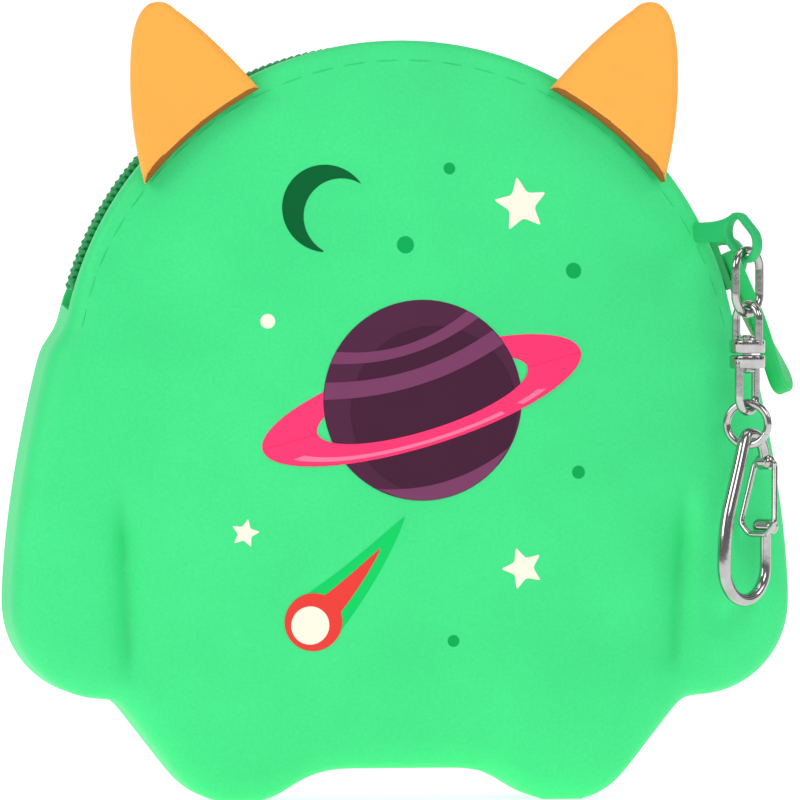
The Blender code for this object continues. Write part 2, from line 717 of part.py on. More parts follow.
def make_coil(name, side, collection, material):
    """One row of the coil, a rail whose teeth interlock with the other row's."""
    pitch = (COIL_END_ANGLE - COIL_START_ANGLE) / TEETH
    tooth = pitch * TOOTH_WIDTH_SHARE
    phase = FRONT_TOOTH_PHASE if side < 0 else REAR_TOOTH_PHASE
    top = coil_bottom() + COIL_HEIGHT
    bm = bmesh.new()

    def column(angle):
        places = (side * COIL_OUTER_Y, side * COIL_ROOT_Y)
        return [bm.verts.new(polar(top, angle, y)) for y in places]

    last = column(COIL_START_ANGLE)
    for index in range(TEETH):
        middle = COIL_START_ANGLE + pitch * (index + phase)
        before = column(middle - tooth / 2)
        after = column(middle + tooth / 2)
        ends = (middle - tooth / 2, middle + tooth / 2)
        tip = [bm.verts.new(polar(top, end, -side * TOOTH_REACH)) for end in ends]
        bm.faces.new((last[0], last[1], before[1], before[0]))
        bm.faces.new((before[0], before[1], after[1], after[0]))
        bm.faces.new((before[1], tip[0], tip[1], after[1]))
        last = after
    end = column(COIL_END_ANGLE)
    bm.faces.new((last[0], last[1], end[1], end[0]))
    point_outwards(bm)
    coil = add_bmesh(name, bm, collection, material, smooth=False)
    height = coil.modifiers.new("Height", "SOLIDIFY")
    height.thickness = COIL_HEIGHT
    height.offset = -1.0
    return coil


def make_stop(name, angle, low_y, high_y, collection, material):
    """Small clipped stop over the end of the coil."""
    bottom = coil_bottom()
    low = (bottom, low_y, -STOP_LENGTH / 2)
    high = (bottom + COIL_HEIGHT, high_y, STOP_LENGTH / 2)
    stop = box_object(name, low, high, collection, material)
    placed(stop, Matrix.Translation((0.0, 0.0, DOME_CENTRE_Z)) @ Matrix.Rotation(-angle, 4, "Y"))
    bevel = stop.modifiers.new("Edge", "BEVEL")
    bevel.width = STOP_BEVEL
    bevel.segments = 1
    return stop


def extruded_outline(name, points, half_length, collection):
    """Closed solid from a flat outline in (x, y), extruded both ways along z."""
    data = curve_data(name, [points], extrude=half_length, fill=True)
    return meshed(add_object(name, data, collection))


def make_slider(collection, cutters, material):
    """Zip slider with two plates, side flanges, a wedge between them and a bridge for the pull."""
    plate_low = DOME_RADIUS + CLEARANCE
    plate_high = plate_low + SLIDER_PLATE
    tape_top = DOME_RADIUS - WALL - CLEARANCE
    flange_low = tape_top + 2 * CLEARANCE
    inner_high = tape_top - TAPE_THICKNESS - 2 * CLEARANCE
    inner_low = inner_high - SLIDER_PLATE
    flange_out = SLIDER_FLANGE_Y + SLIDER_FLANGE
    right = [
        (plate_high, SLIDER_OUTER_HALF_WIDTH),
        (plate_low, SLIDER_OUTER_HALF_WIDTH),
        (plate_low, flange_out),
        (flange_low, flange_out),
        (flange_low, SLIDER_FLANGE_Y),
        (plate_low, SLIDER_FLANGE_Y),
    ]
    profile = right + [(r, -y) for r, y in reversed(right)]
    stand = Matrix.Translation((0.0, 0.0, DOME_CENTRE_Z)) @ Matrix.Rotation(-SLIDER_ANGLE, 4, "Y")
    slider = placed(extruded_outline("slider_body", profile, SLIDER_LENGTH / 2, collection), stand)
    low = (inner_low, -SLIDER_INNER_HALF_WIDTH, -SLIDER_LENGTH / 2)
    high = (inner_high, SLIDER_INNER_HALF_WIDTH, SLIDER_LENGTH / 2)
    plate = placed(hide_cutter(box_object("inner_plate", low, high, cutters)), stand)
    wedge_end = -SLIDER_LENGTH / 2 + WEDGE_FROM_END
    embed = SLIDER_PLATE / 2
    diamond = [
        (wedge_end, -WEDGE_HALF_WIDTH / 2),
        (wedge_end + WEDGE_LENGTH / 2, -WEDGE_HALF_WIDTH),
        (wedge_end + WEDGE_LENGTH, -WEDGE_HALF_WIDTH / 2),
        (wedge_end + WEDGE_LENGTH, WEDGE_HALF_WIDTH / 2),
        (wedge_end + WEDGE_LENGTH / 2, WEDGE_HALF_WIDTH),
        (wedge_end, WEDGE_HALF_WIDTH / 2),
    ]
    post_low = inner_high - embed
    post_high = plate_low + embed
    post = hide_cutter(extruded_outline("wedge", diamond, (post_high - post_low) / 2, cutters))
    lift = Matrix.Translation(((post_high + post_low) / 2, 0.0, 0.0)) @ Matrix.Rotation(-math.pi / 2, 4, "Y")
    placed(post, stand @ lift)
    crown_low = plate_high - embed
    crown_high = plate_high + BRIDGE_WINDOW + BRIDGE_WIRE_RADIUS
    arch = []
    for angle in spread(0.0, math.pi, BRIDGE_STEPS):
        rise = crown_low + (crown_high - crown_low) * math.sin(angle) ** BRIDGE_FULLNESS
        arch.append((rise, 0.0, -BRIDGE_HALF_SPAN * math.cos(angle)))
    data = curve_data("bridge", [arch], bevel=BRIDGE_WIRE_RADIUS, cyclic=False)
    bridge = placed(hide_cutter(meshed(add_object("bridge", data, cutters))), stand)
    for other in (plate, post, bridge):
        boolean(slider, other, "UNION")
    slider.data.materials.append(material)
    return slider


def stadium(low, high, radius, steps):
    """Closed outline with two round ends, centred on x = low and x = high."""
    quarter = math.pi / 2
    far_end = whole_arc((high, 0.0), radius, -quarter, quarter, steps)
    near_end = whole_arc((low, 0.0), radius, quarter, 3 * quarter, steps)
    return far_end + near_end


def make_strap(collection, material):
    """Pull strap with a long eye round the slider's bridge, twisted a little towards its end."""
    bottom = STRAP_WEB / 2
    head = STRAP_HALF_WIDTH - bottom
    outline = stadium(head, STRAP_LENGTH - STRAP_HALF_WIDTH, STRAP_HALF_WIDTH, STRAP_END_STEPS)
    eye_low = bottom + STRAP_EYE_HALF_WIDTH
    eye_high = bottom + STRAP_EYE_LENGTH - STRAP_EYE_HALF_WIDTH
    eye = stadium(eye_low, eye_high, STRAP_EYE_HALF_WIDTH, STRAP_EYE_STEPS)
    data = curve_data("pull_tab", [outline, eye], extrude=STRAP_THICKNESS / 2, fill=True)
    strap = meshed(add_object("pull_tab", data, collection))
    bm = bmesh.new()
    bm.from_mesh(strap.data)
    twist_start = STRAP_WEB + STRAP_EYE_LENGTH
    for x in spread(twist_start, STRAP_LENGTH - STRAP_HALF_WIDTH, STRAP_SLICES):
        geometry = bm.verts[:] + bm.edges[:] + bm.faces[:]
        cut = {"plane_co": (x, 0.0, 0.0), "plane_no": (1.0, 0.0, 0.0)}
        bmesh.ops.bisect_plane(bm, geom=geometry, dist=WELD_DISTANCE, **cut)
    for vert in bm.verts:
        share = smooth_step((vert.co.x - twist_start) / (STRAP_LENGTH - twist_start))
        vert.co = Matrix.Rotation(STRAP_TWIST * share, 3, "X") @ vert.co
    bmesh.ops.triangulate(bm, faces=bm.faces)
    bm.to_mesh(strap.data)
    bm.free()
    strap.data.materials.append(material)
    placed(strap, strap_frame())
    return strap


def strap_pivot_radius():
    """Distance of the strap's web from the dome's centre, half way up the bridge's window."""
    return DOME_RADIUS + CLEARANCE + SLIDER_PLATE + BRIDGE_WINDOW / 2


def strap_frame():
    """Matrix from the strap's own frame (x down its length, z out) to its place on the slider."""
    down = Vector((math.sin(STRAP_ANGLE), 0.0, -math.cos(STRAP_ANGLE)))
    out = Vector((math.cos(STRAP_ANGLE), 0.0, math.sin(STRAP_ANGLE)))
    across = out.cross(down)
    rotation = Matrix((down, across, out)).transposed().to_4x4()
    pivot = polar(strap_pivot_radius(), SLIDER_ANGLE, 0.0)
    return Matrix.Translation(pivot) @ rotation


def oval(width, height, count):
    """Closed stadium in (x, z), centred, as 3-D points."""
    radius = width / 2
    straight = (height - width) / 2
    top = [(radius * math.cos(a), 0.0, straight + radius * math.sin(a)) for a in spread(0.0, math.pi, count)]
    bottom = [(-x, 0.0, -z) for x, _, z in top]
    return top + bottom


def wire_object(name, points, radius, cyclic, collection, material):
    """Round wire along points."""
    data = curve_data(name, [points], bevel=radius, cyclic=cyclic)
    return add_object(name, data, collection, material)


def chain_heights():
    """Heights of the chain's pieces, each hanging in the one above."""
    link_top = TAB_EYE_Z - TAB_EYE_RADIUS + CLEARANCE + LINK_WIRE_RADIUS
    link_bottom = link_top - (LINK_HEIGHT - 2 * LINK_WIRE_RADIUS)
    upper_top = link_bottom + LINK_WIRE_RADIUS + CHAIN_STEP + LOOP_WIRE_RADIUS
    upper_collar = upper_top + LOOP_WIRE_RADIUS - UPPER_LOOP_HEIGHT
    lower_collar = upper_collar - CLEARANCE
    lower_bottom = lower_collar - LOWER_LOOP_HEIGHT + LOOP_WIRE_RADIUS
    ring_centre = lower_bottom + LOOP_WIRE_RADIUS + CHAIN_STEP + RING_WIRE_RADIUS - RING_RADIUS
    clasp_top = ring_centre - RING_RADIUS + RING_WIRE_RADIUS + CHAIN_STEP + CLASP_WIRE_RADIUS
    loops = (upper_top, upper_collar, lower_collar, lower_bottom)
    return link_top, link_bottom, *loops, ring_centre, clasp_top


def make_link(collection, material):
    """Oval link through the key tab's eye."""
    link_top, link_bottom = chain_heights()[:2]
    points = oval(LINK_WIDTH - 2 * LINK_WIRE_RADIUS, link_top - link_bottom, BOW_STEPS)
    link = wire_object("oval_link", points, LINK_WIRE_RADIUS, True, collection, material)
    link.data.transform(Matrix.Translation((0.0, 0.0, -(link_top - link_bottom) / 2)))
    link.location = (TAB_EYE_X, TAB_EYE_Y, link_top)
    link.rotation_euler.z = LINK_TURN
    return link


def swivel_loop(name, turn, collar_top, loop_end, collection, cutters, material):
    """Half of the swivel, a bowed loop on a pierced collar."""
    half = LOOP_WIDTH / 2 - LOOP_WIRE_RADIUS
    collar_middle = collar_top - COLLAR_HEIGHT / 2
    way = 1.0 if loop_end > collar_middle else -1.0
    straight = abs(loop_end - collar_middle) - half
    bow = [(x, 0.0, way * z) for x, z in whole_arc((0.0, straight), half, 0.0, math.pi, BOW_STEPS)]
    points = [(half, 0.0, 0.0)] + bow + [(-half, 0.0, 0.0)]
    data = curve_data(name, [points], bevel=LOOP_WIRE_RADIUS, cyclic=False)
    loop = meshed(add_object(name, data, collection))
    collar = cylinder(f"{name}_collar", COLLAR_RADIUS, COLLAR_HEIGHT, COLLAR_SIDES, cutters)
    bore = cylinder(f"{name}_bore", RIVET_RADIUS + CLEARANCE, 2 * COLLAR_HEIGHT, BORE_SIDES, cutters)
    hide_cutter(collar)
    hide_cutter(bore)
    place = Matrix.Translation((TAB_EYE_X, TAB_EYE_Y, collar_middle)) @ Matrix.Rotation(turn, 4, "Z")
    for piece in (loop, collar, bore):
        placed(piece, place)
    boolean(loop, collar, "UNION")
    boolean(loop, bore, "DIFFERENCE")
    loop.data.materials.append(material)
    return loop


def cylinder(name, radius, height, sides, collection, material=None):
    """Upright cylinder centred on the origin."""
    bm = bmesh.new()
    bmesh.ops.create_cone(bm, cap_ends=True, segments=sides, radius1=radius, radius2=radius, depth=height)
    return add_bmesh(name, bm, collection, material)


def make_rivet(collection, material):
    """Rivet that holds the two collars together and lets the lower one spin."""
    upper_collar, lower_collar = chain_heights()[3:5]
    top = upper_collar + CLEARANCE + COLLAR_HEIGHT + RIVET_HEAD
    head_low = top - RIVET_HEAD
    bottom = lower_collar - COLLAR_HEIGHT - CLEARANCE - RIVET_HEAD
    foot_high = bottom + RIVET_HEAD
    profile = [
        (0.0, top),
        (RIVET_HEAD_RADIUS, top),
        (RIVET_HEAD_RADIUS, head_low),
        (RIVET_RADIUS, head_low),
        (RIVET_RADIUS, foot_high),
        (RIVET_HEAD_RADIUS, foot_high),
        (RIVET_HEAD_RADIUS, bottom),
        (0.0, bottom),
    ]
    bm = bmesh.new()
    verts = [bm.verts.new((r, 0.0, z - lower_collar)) for r, z in profile]
    for a, b in zip(verts, verts[1:]):
        bm.edges.new((a, b))
    rivet = add_bmesh("swivel_rivet", bm, collection, material, smooth=False)
    rivet.location = (TAB_EYE_X, TAB_EYE_Y, lower_collar)
    turn = rivet.modifiers.new("Turn", "SCREW")
    turn.steps = BORE_SIDES
    turn.render_steps = BORE_SIDES
    turn.use_merge_vertices = True
    turn.merge_threshold = WELD_DISTANCE
    return rivet


def make_ring(collection, material):
    """Round jump ring between the swivel and the clasp."""
    ring_centre = chain_heights()[6]
    points = [(x, 0.0, z) for x, z in arc_points((0.0, 0.0), RING_RADIUS, 0.0, 2 * math.pi, RING_STEPS)]
    ring = wire_object("jump_ring", points, RING_WIRE_RADIUS, True, collection, material)
    ring.data.transform(Matrix.Translation((0.0, 0.0, -RING_RADIUS)))
    ring.location = (TAB_EYE_X, TAB_EYE_Y, ring_centre + RING_RADIUS)
    ring.rotation_euler.z = RING_TURN
    return ring


def clasp_frame():
    """Matrix from the clasp's own frame (x across it, z up, origin at its top wire) to its place."""
    clasp_top = chain_heights()[7]
    return Matrix.Translation((TAB_EYE_X, TAB_EYE_Y, clasp_top)) @ Matrix.Rotation(CLASP_TURN, 4, "Z")


def clasp_sizes():
    """Radius of the clasp's bow, length of its wire line, and its nose and gate pivot as (x, z)."""
    bow = CLASP_WIDTH / 2 - CLASP_WIRE_RADIUS
    line = CLASP_HEIGHT - 2 * CLASP_WIRE_RADIUS
    nose = (bow * (1.0 - CLASP_SET_SHARE), -line * (1.0 - CLASP_NOSE_SHARE))
    pivot = (bow * CLASP_PIVOT_SHARES[0], -line * CLASP_PIVOT_SHARES[1])
    return bow, line, nose, pivot


def clasp_line():
    """Wire line of the clasp as (x, z), from the pivot over the top, down the spine and up to the nose."""
    bow, line, nose, pivot = clasp_sizes()

    def at(pair):
        return (bow * pair[0], -line * pair[1])

    centre = (-bow * CLASP_SET_SHARE, bow - line)
    shares = (CLASP_TOP_SHARES, CLASP_NECK_SHARES, CLASP_SPINE_SHARES)
    knots = [pivot] + [at(pair) for pair in shares] + [(centre[0] - bow, centre[1])]
    points = []
    for start, control, end in zip(knots, CLASP_CONTROL_SHARES, knots[1:]):
        points += curve_points(start, at(control), end, CLASP_CURVE_STEPS)
    return points + whole_arc(centre, bow, math.pi, 2 * math.pi, CLASP_BOTTOM_STEPS) + [nose]


def make_clasp(collection, cutters, material):
    """C-shaped clasp body, from the gate's pivot over the top, down the spine and up to the nose."""
    _, _, nose, pivot = clasp_sizes()
    points = [(x, 0.0, z) for x, z in clasp_line()]
    data = curve_data("clasp_body", [points], bevel=CLASP_WIRE_RADIUS, cyclic=False)
    body = placed(meshed(add_object("clasp_body", data, collection)), clasp_frame())
    pins = (("pivot_boss", pivot, CLASP_BOSS_HALF_LENGTH), ("nose_head", nose, NOSE_HEAD_HALF_LENGTH))
    for name, (x, z), half_length in pins:
        pin = hide_cutter(cylinder(name, CLASP_BOSS_RADIUS, 2 * half_length, BORE_SIDES, cutters))
        across = Matrix.Translation((x, 0.0, z)) @ Matrix.Rotation(math.pi / 2, 4, "X")
        placed(pin, clasp_frame() @ across)
        boolean(body, pin, "UNION")
    body.data.materials.append(material)
    return body


def make_gate(collection, material):
    """Wire gate, a hairpin that straddles the pivot boss and the nose and shuts inside the nose."""
    _, _, nose, pivot = clasp_sizes()
    boss_y = CLASP_BOSS_HALF_LENGTH + CLEARANCE + GATE_WIRE_RADIUS
    leg_y = NOSE_HEAD_HALF_LENGTH + CLEARANCE + GATE_WIRE_RADIUS + GATE_SPREAD
    shut_x = nose[0] - CLASP_BOSS_RADIUS - CLEARANCE - GATE_WIRE_RADIUS
    shut_z = nose[1] - GATE_DROP
    half_y = leg_y / 2
    points = [
        (pivot[0], -boss_y, pivot[1]),
        (shut_x, -leg_y, shut_z + half_y),
        (shut_x, -half_y, shut_z),
        (shut_x, half_y, shut_z),
        (shut_x, leg_y, shut_z + half_y),
        (pivot[0], boss_y, pivot[1]),
    ]
    gate = wire_object("clasp_gate", points, GATE_WIRE_RADIUS, False, collection, material)
    gate = meshed(gate)
    gate.data.materials.clear()
    gate.data.materials.append(material)
    placed(gate, clasp_frame())
    return gate, clasp_frame() @ Vector((pivot[0], 0.0, pivot[1]))


def main():
    """Build every piece, then hang the moving ones on empties at their joints."""
    clear_scene()
    purse = new_collection("coin_purse")
    cutters = new_collection("cutters")
    silicone = make_material("silicone", SILICONE, 0.55)
    strap_silicone = make_material("strap_silicone", SILICONE_DARK, 0.5)
    horn_material = make_material("horn_silicone", HORN_ORANGE, 0.5)
    nickel = make_material("nickel", NICKEL, 0.18, 1.0)
    nylon = make_material("zip_nylon", ZIP_GREEN, 0.6)
    shell, panel = make_body(purse, cutters, silicone)
    left_horn = make_horn("left_horn", -1, purse, horn_material)
    right_horn = make_horn("right_horn", 1, purse, horn_material)
    front_tape = make_tape("front_zip_tape", -1, purse, nylon)
    make_tape("rear_zip_tape", 1, purse, nylon)
    front_coil = make_coil("front_zip_coil", -1, purse, nylon)
    make_coil("rear_zip_coil", 1, purse, nylon)
    front_stop = make_stop("front_top_stop", STOP_ANGLE, -COIL_OUTER_Y, -COIL_ROOT_Y, purse, nylon)
    make_stop("rear_top_stop", STOP_ANGLE, COIL_ROOT_Y, COIL_OUTER_Y, purse, nylon)
    make_stop("bottom_stop", BOTTOM_STOP_ANGLE, -COIL_OUTER_Y, COIL_OUTER_Y, purse, nylon)
    slider = make_slider(purse, cutters, nickel)
    strap = make_strap(purse, strap_silicone)
    link = make_link(purse, nickel)
    heights = chain_heights()
    upper_collar = heights[3] + COLLAR_HEIGHT
    places = (purse, cutters, nickel)
    upper = swivel_loop("swivel_upper_loop", UPPER_LOOP_TURN, upper_collar, heights[2], *places)
    lower = swivel_loop("swivel_lower_loop", LOWER_LOOP_TURN, heights[4], heights[5], *places)
    rivet = make_rivet(purse, nickel)
    ring = make_ring(purse, nickel)
    clasp = make_clasp(purse, cutters, nickel)
    gate, gate_pivot = make_gate(purse, nickel)

    hinge_y = -front_depth_at(0.0, HINGE_Z)
    mouth_joint = empty_at("mouth_joint", (0.0, hinge_y, HINGE_Z), purse)
    zip_joint = empty_at("zip_joint", (0.0, 0.0, DOME_CENTRE_Z), purse)
    pull_joint = empty_at("pull_joint", polar(strap_pivot_radius(), SLIDER_ANGLE, 0.0), purse, zip_joint)
    link_joint = empty_at("link_joint", (TAB_EYE_X, TAB_EYE_Y, TAB_EYE_Z), purse)
    swivel_joint = empty_at("swivel_joint", (TAB_EYE_X, TAB_EYE_Y, heights[1]), purse, link_joint)
    spin_joint = empty_at("spin_joint", (TAB_EYE_X, TAB_EYE_Y, heights[4]), purse, swivel_joint)
    ring_joint = empty_at("ring_joint", (TAB_EYE_X, TAB_EYE_Y, heights[5]), purse, spin_joint)
    clasp_joint = empty_at("clasp_joint", (TAB_EYE_X, TAB_EYE_Y, heights[6] - RING_RADIUS), purse, ring_joint)
    gate_joint = empty_at("gate_joint", gate_pivot, purse, clasp_joint)
    carried = {
        mouth_joint: (panel, left_horn, right_horn, front_tape, front_coil, front_stop),
        zip_joint: (slider,),
        pull_joint: (strap,),
        link_joint: (link,),
        swivel_joint: (upper, rivet),
        spin_joint: (lower,),
        ring_joint: (ring,),
        clasp_joint: (clasp,),
        gate_joint: (gate,),
    }
    for joint, pieces in carried.items():
        for piece in pieces:
            hang(piece, joint)
    place = empty_at("purse_place", (0.0, 0.0, 0.0), purse)
    for obj in list(purse.objects) + list(cutters.objects):
        if obj.parent is None and obj is not place:
            hang(obj, place)
    place.location = (PLACE_X, PLACE_Y, 0.0)
    bpy.context.view_layer.update()
    for joint in carried:
        print(joint.name, [round(value, 6) for value in joint.matrix_world.translation])


main()
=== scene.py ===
"""Looks of a zipped silicone coin purse with a key chain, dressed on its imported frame.

Lengths are metres in the frame's own axes: +X right, +Z up, and the front faces -Y.
"""

from __future__ import annotations

import json
import logging
import math
from dataclasses import dataclass, field
from enum import Enum
from typing import Sequence

import bmesh
import bpy
import numpy as np
from mathutils import Matrix, Vector
from mathutils.geometry import delaunay_2d_cdt

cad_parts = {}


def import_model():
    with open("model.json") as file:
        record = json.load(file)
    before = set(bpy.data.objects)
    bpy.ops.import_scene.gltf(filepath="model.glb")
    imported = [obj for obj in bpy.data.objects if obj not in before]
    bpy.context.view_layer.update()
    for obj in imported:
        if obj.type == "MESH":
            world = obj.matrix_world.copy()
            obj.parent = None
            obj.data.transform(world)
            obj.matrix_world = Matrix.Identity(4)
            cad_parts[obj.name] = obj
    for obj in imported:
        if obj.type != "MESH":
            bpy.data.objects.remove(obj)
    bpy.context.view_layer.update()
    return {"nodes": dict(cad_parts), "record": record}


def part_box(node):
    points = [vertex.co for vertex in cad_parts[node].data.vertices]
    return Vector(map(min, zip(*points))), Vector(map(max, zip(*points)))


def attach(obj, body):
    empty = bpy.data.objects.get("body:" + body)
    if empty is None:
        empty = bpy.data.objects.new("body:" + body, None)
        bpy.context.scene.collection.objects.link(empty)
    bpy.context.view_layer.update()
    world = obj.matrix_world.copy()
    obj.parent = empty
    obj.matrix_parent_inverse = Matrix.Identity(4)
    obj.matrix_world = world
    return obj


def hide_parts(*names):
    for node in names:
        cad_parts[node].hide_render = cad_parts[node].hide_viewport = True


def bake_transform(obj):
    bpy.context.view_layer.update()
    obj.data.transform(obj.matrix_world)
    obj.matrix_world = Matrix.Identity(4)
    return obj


LOG = logging.getLogger("coin_purse")
MM = 0.001

Colour = tuple[int, int, int]
Point = tuple[float, float, float]
Flat = tuple[float, float]
Faces = list[tuple[int, ...]]
Shape = tuple[np.ndarray, Faces]

MERGE_DISTANCE = 1e-7
SHARP_DEGREES = 50.0
# A tube's end is a low dome, CAP_BULGE of the radius high, with rings at these shares of its height.
CAP_BULGE = 0.6
CAP_LIFTS = (0.35, 0.68, 0.93)
# Where less than this share of the flat axis lies across a tube, its section follows the last one.
LEAST_ACROSS = 0.2


class Side(Enum):
    """Which half of the purse a piece belongs to, as the sign of its Y."""

    FRONT = -1
    REAR = 1


class Hand(Enum):
    """Left or right as seen from the front, as the sign of X."""

    LEFT = -1
    RIGHT = 1


class Ink(Enum):
    """Display colours of the printed picture."""

    HOT_PINK = (255, 58, 114)
    LIGHT_PINK = (255, 122, 160)
    AUBERGINE = (82, 39, 67)
    DARK_AUBERGINE = (69, 32, 56)
    PLUM = (122, 62, 100)
    BOTTLE_GREEN = (4, 96, 48)
    LEAF_GREEN = (18, 205, 100)
    MID_GREEN = (10, 168, 84)
    COMET_RED = (232, 64, 58)
    CREAM = (255, 240, 222)


def linear(rgb: Colour) -> tuple[float, float, float, float]:
    """Linear colour with full alpha of an 8-bit display colour.

    Args:
        rgb: Red, green and blue from 0 to 255.

    Returns:
        Four numbers for a colour socket.
    """
    parts = [v / 255.0 for v in rgb]
    low = [v / 12.92 if v <= 0.04045 else ((v + 0.055) / 1.055) ** 2.4 for v in parts]
    return (low[0], low[1], low[2], 1.0)


def smooth_step(value: np.ndarray | float) -> np.ndarray:
    """Smooth ramp from 0 to 1 of each value."""
    clipped = np.clip(value, 0.0, 1.0)
    return clipped * clipped * (3.0 - 2.0 * clipped)


def arc(centre: Flat, radius: float, start: float, end: float, count: int) -> np.ndarray:
    """Points of an arc, without its end.

    Args:
        centre: Centre of the arc.
        radius: Its radius.
        start: First angle in degrees.
        end: Last angle in degrees.
        count: How many points.

    Returns:
        Array of count points.
    """
    angles = np.radians(start + (end - start) * np.arange(count) / count)
    return np.stack([centre[0] + radius * np.cos(angles), centre[1] + radius * np.sin(angles)], axis=1)


def bend(start: Flat, control: Flat, end: Flat, count: int) -> np.ndarray:
    """Points of a quadratic curve, without its end.

    Args:
        start: First point.
        control: Control point.
        end: Last point.
        count: How many points.

    Returns:
        Array of count points.
    """
    t = (np.arange(count) / count)[:, None]
    return (1 - t) ** 2 * np.array(start) + 2 * t * (1 - t) * np.array(control) + t * t * np.array(end)


def resample(points: np.ndarray, count: int, closed: bool = False) -> np.ndarray:
    """Points at even steps along a line.

    Args:
        points: Points of the line.
        count: How many points to return.
        closed: Whether the line joins its own start.

    Returns:
        Array of count points.
    """
    line = np.vstack([points, points[:1]]) if closed else points
    steps = np.linalg.norm(np.diff(line, axis=0), axis=1)
    along = np.concatenate([[0.0], np.cumsum(steps)])
    targets = np.linspace(0.0, along[-1], count + 1)[:-1] if closed else np.linspace(0.0, along[-1], count)
    return np.stack([np.interp(targets, along, line[:, k]) for k in range(line.shape[1])], axis=1)


def relaxed(points: np.ndarray, rounds: int) -> np.ndarray:
    """Open line whose inner points have been drawn towards their neighbours.

    Args:
        points: Points of the line.
        rounds: How often they are drawn in.

    Returns:
        Array of as many points.
    """
    line = points.copy()
    for _ in range(rounds):
        line[1:-1] = 0.25 * line[:-2] + 0.5 * line[1:-1] + 0.25 * line[2:]
    return line


def turned(points: np.ndarray, degrees: float, place: Flat) -> np.ndarray:
    """Points turned about the origin and moved to a place.

    Args:
        points: Points in a plane.
        degrees: How far they are turned.
        place: Where the origin goes.

    Returns:
        Array of as many points.
    """
    angle = math.radians(degrees)
    x = points[:, 0] * math.cos(angle) - points[:, 1] * math.sin(angle)
    z = points[:, 0] * math.sin(angle) + points[:, 1] * math.cos(angle)
    return np.stack([x + place[0], z + place[1]], axis=1)


def link_object(name: str, data: bpy.types.ID) -> bpy.types.Object:
    """New object around its data, linked to the scene.

    Args:
        name: Name of the object.
        data: Its mesh, curve, camera or light.

    Returns:
        The object.
    """
    obj = bpy.data.objects.new(name, data)
    bpy.context.scene.collection.objects.link(obj)
    return obj


def taken_mesh(guide: bpy.types.Object, name: str) -> bpy.types.Mesh:
    """Plain mesh of an evaluated guide object, which is removed.

    Args:
        guide: Object with live modifiers, or a curve.
        name: Name of the mesh.

    Returns:
        The mesh.
    """
    bpy.context.view_layer.update()
    graph = bpy.context.evaluated_depsgraph_get()
    mesh = bpy.data.meshes.new_from_object(guide.evaluated_get(graph))
    mesh.name = name
    bpy.data.objects.remove(guide, do_unlink=True)
    return mesh


def tidy_mesh(mesh: bpy.types.Mesh) -> None:
    """Merge a mesh's doubles, turn its faces outwards and shade it smooth.

    Args:
        mesh: Mesh to tidy in place.
    """
    bm = bmesh.new()
    bm.from_mesh(mesh)
    bmesh.ops.remove_doubles(bm, verts=bm.verts, dist=MERGE_DISTANCE)
    bmesh.ops.recalc_face_normals(bm, faces=bm.faces)
    bm.to_mesh(mesh)
    bm.free()
    mesh.shade_smooth()
    mesh.set_sharp_from_angle(angle=math.radians(SHARP_DEGREES))


def make_object(name: str, shape: Shape, material: bpy.types.Material) -> bpy.types.Object:
    """Smooth-shaded mesh object whose faces point outwards.

    Args:
        name: Name of the piece.
        shape: Its points, and the point numbers of each face.
        material: Its finish.

    Returns:
        The new object, linked to the scene.
    """
    verts, faces = shape
    mesh = bpy.data.meshes.new(name)
    mesh.from_pydata([tuple(v) for v in verts], [], faces)
    tidy_mesh(mesh)
    mesh.materials.append(material)
    return link_object(name, mesh)


def loft(rings: Sequence[np.ndarray], along: bool = False, caps: bool = False) -> Shape:
    """Faces that join closed rings of like count.

    Args:
        rings: Arrays of points, one for each ring.
        along: Whether the last ring joins the first.
        caps: Whether the first and last ring are closed by a fan.

    Returns:
        Points and faces.
    """
    size = len(rings[0])
    verts = list(np.vstack(rings))
    faces: Faces = []
    spans = len(rings) if along else len(rings) - 1
    for r in range(spans):
        low, high = r * size, ((r + 1) % len(rings)) * size
        faces += [(low + i, low + (i + 1) % size, high + (i + 1) % size, high + i) for i in range(size)]
    if caps:
        for start in (0, (len(rings) - 1) * size):
            verts.append(np.mean(verts[start : start + size], axis=0))
            faces += [(start + i, start + (i + 1) % size, len(verts) - 1) for i in range(size)]
    return np.array(verts), faces


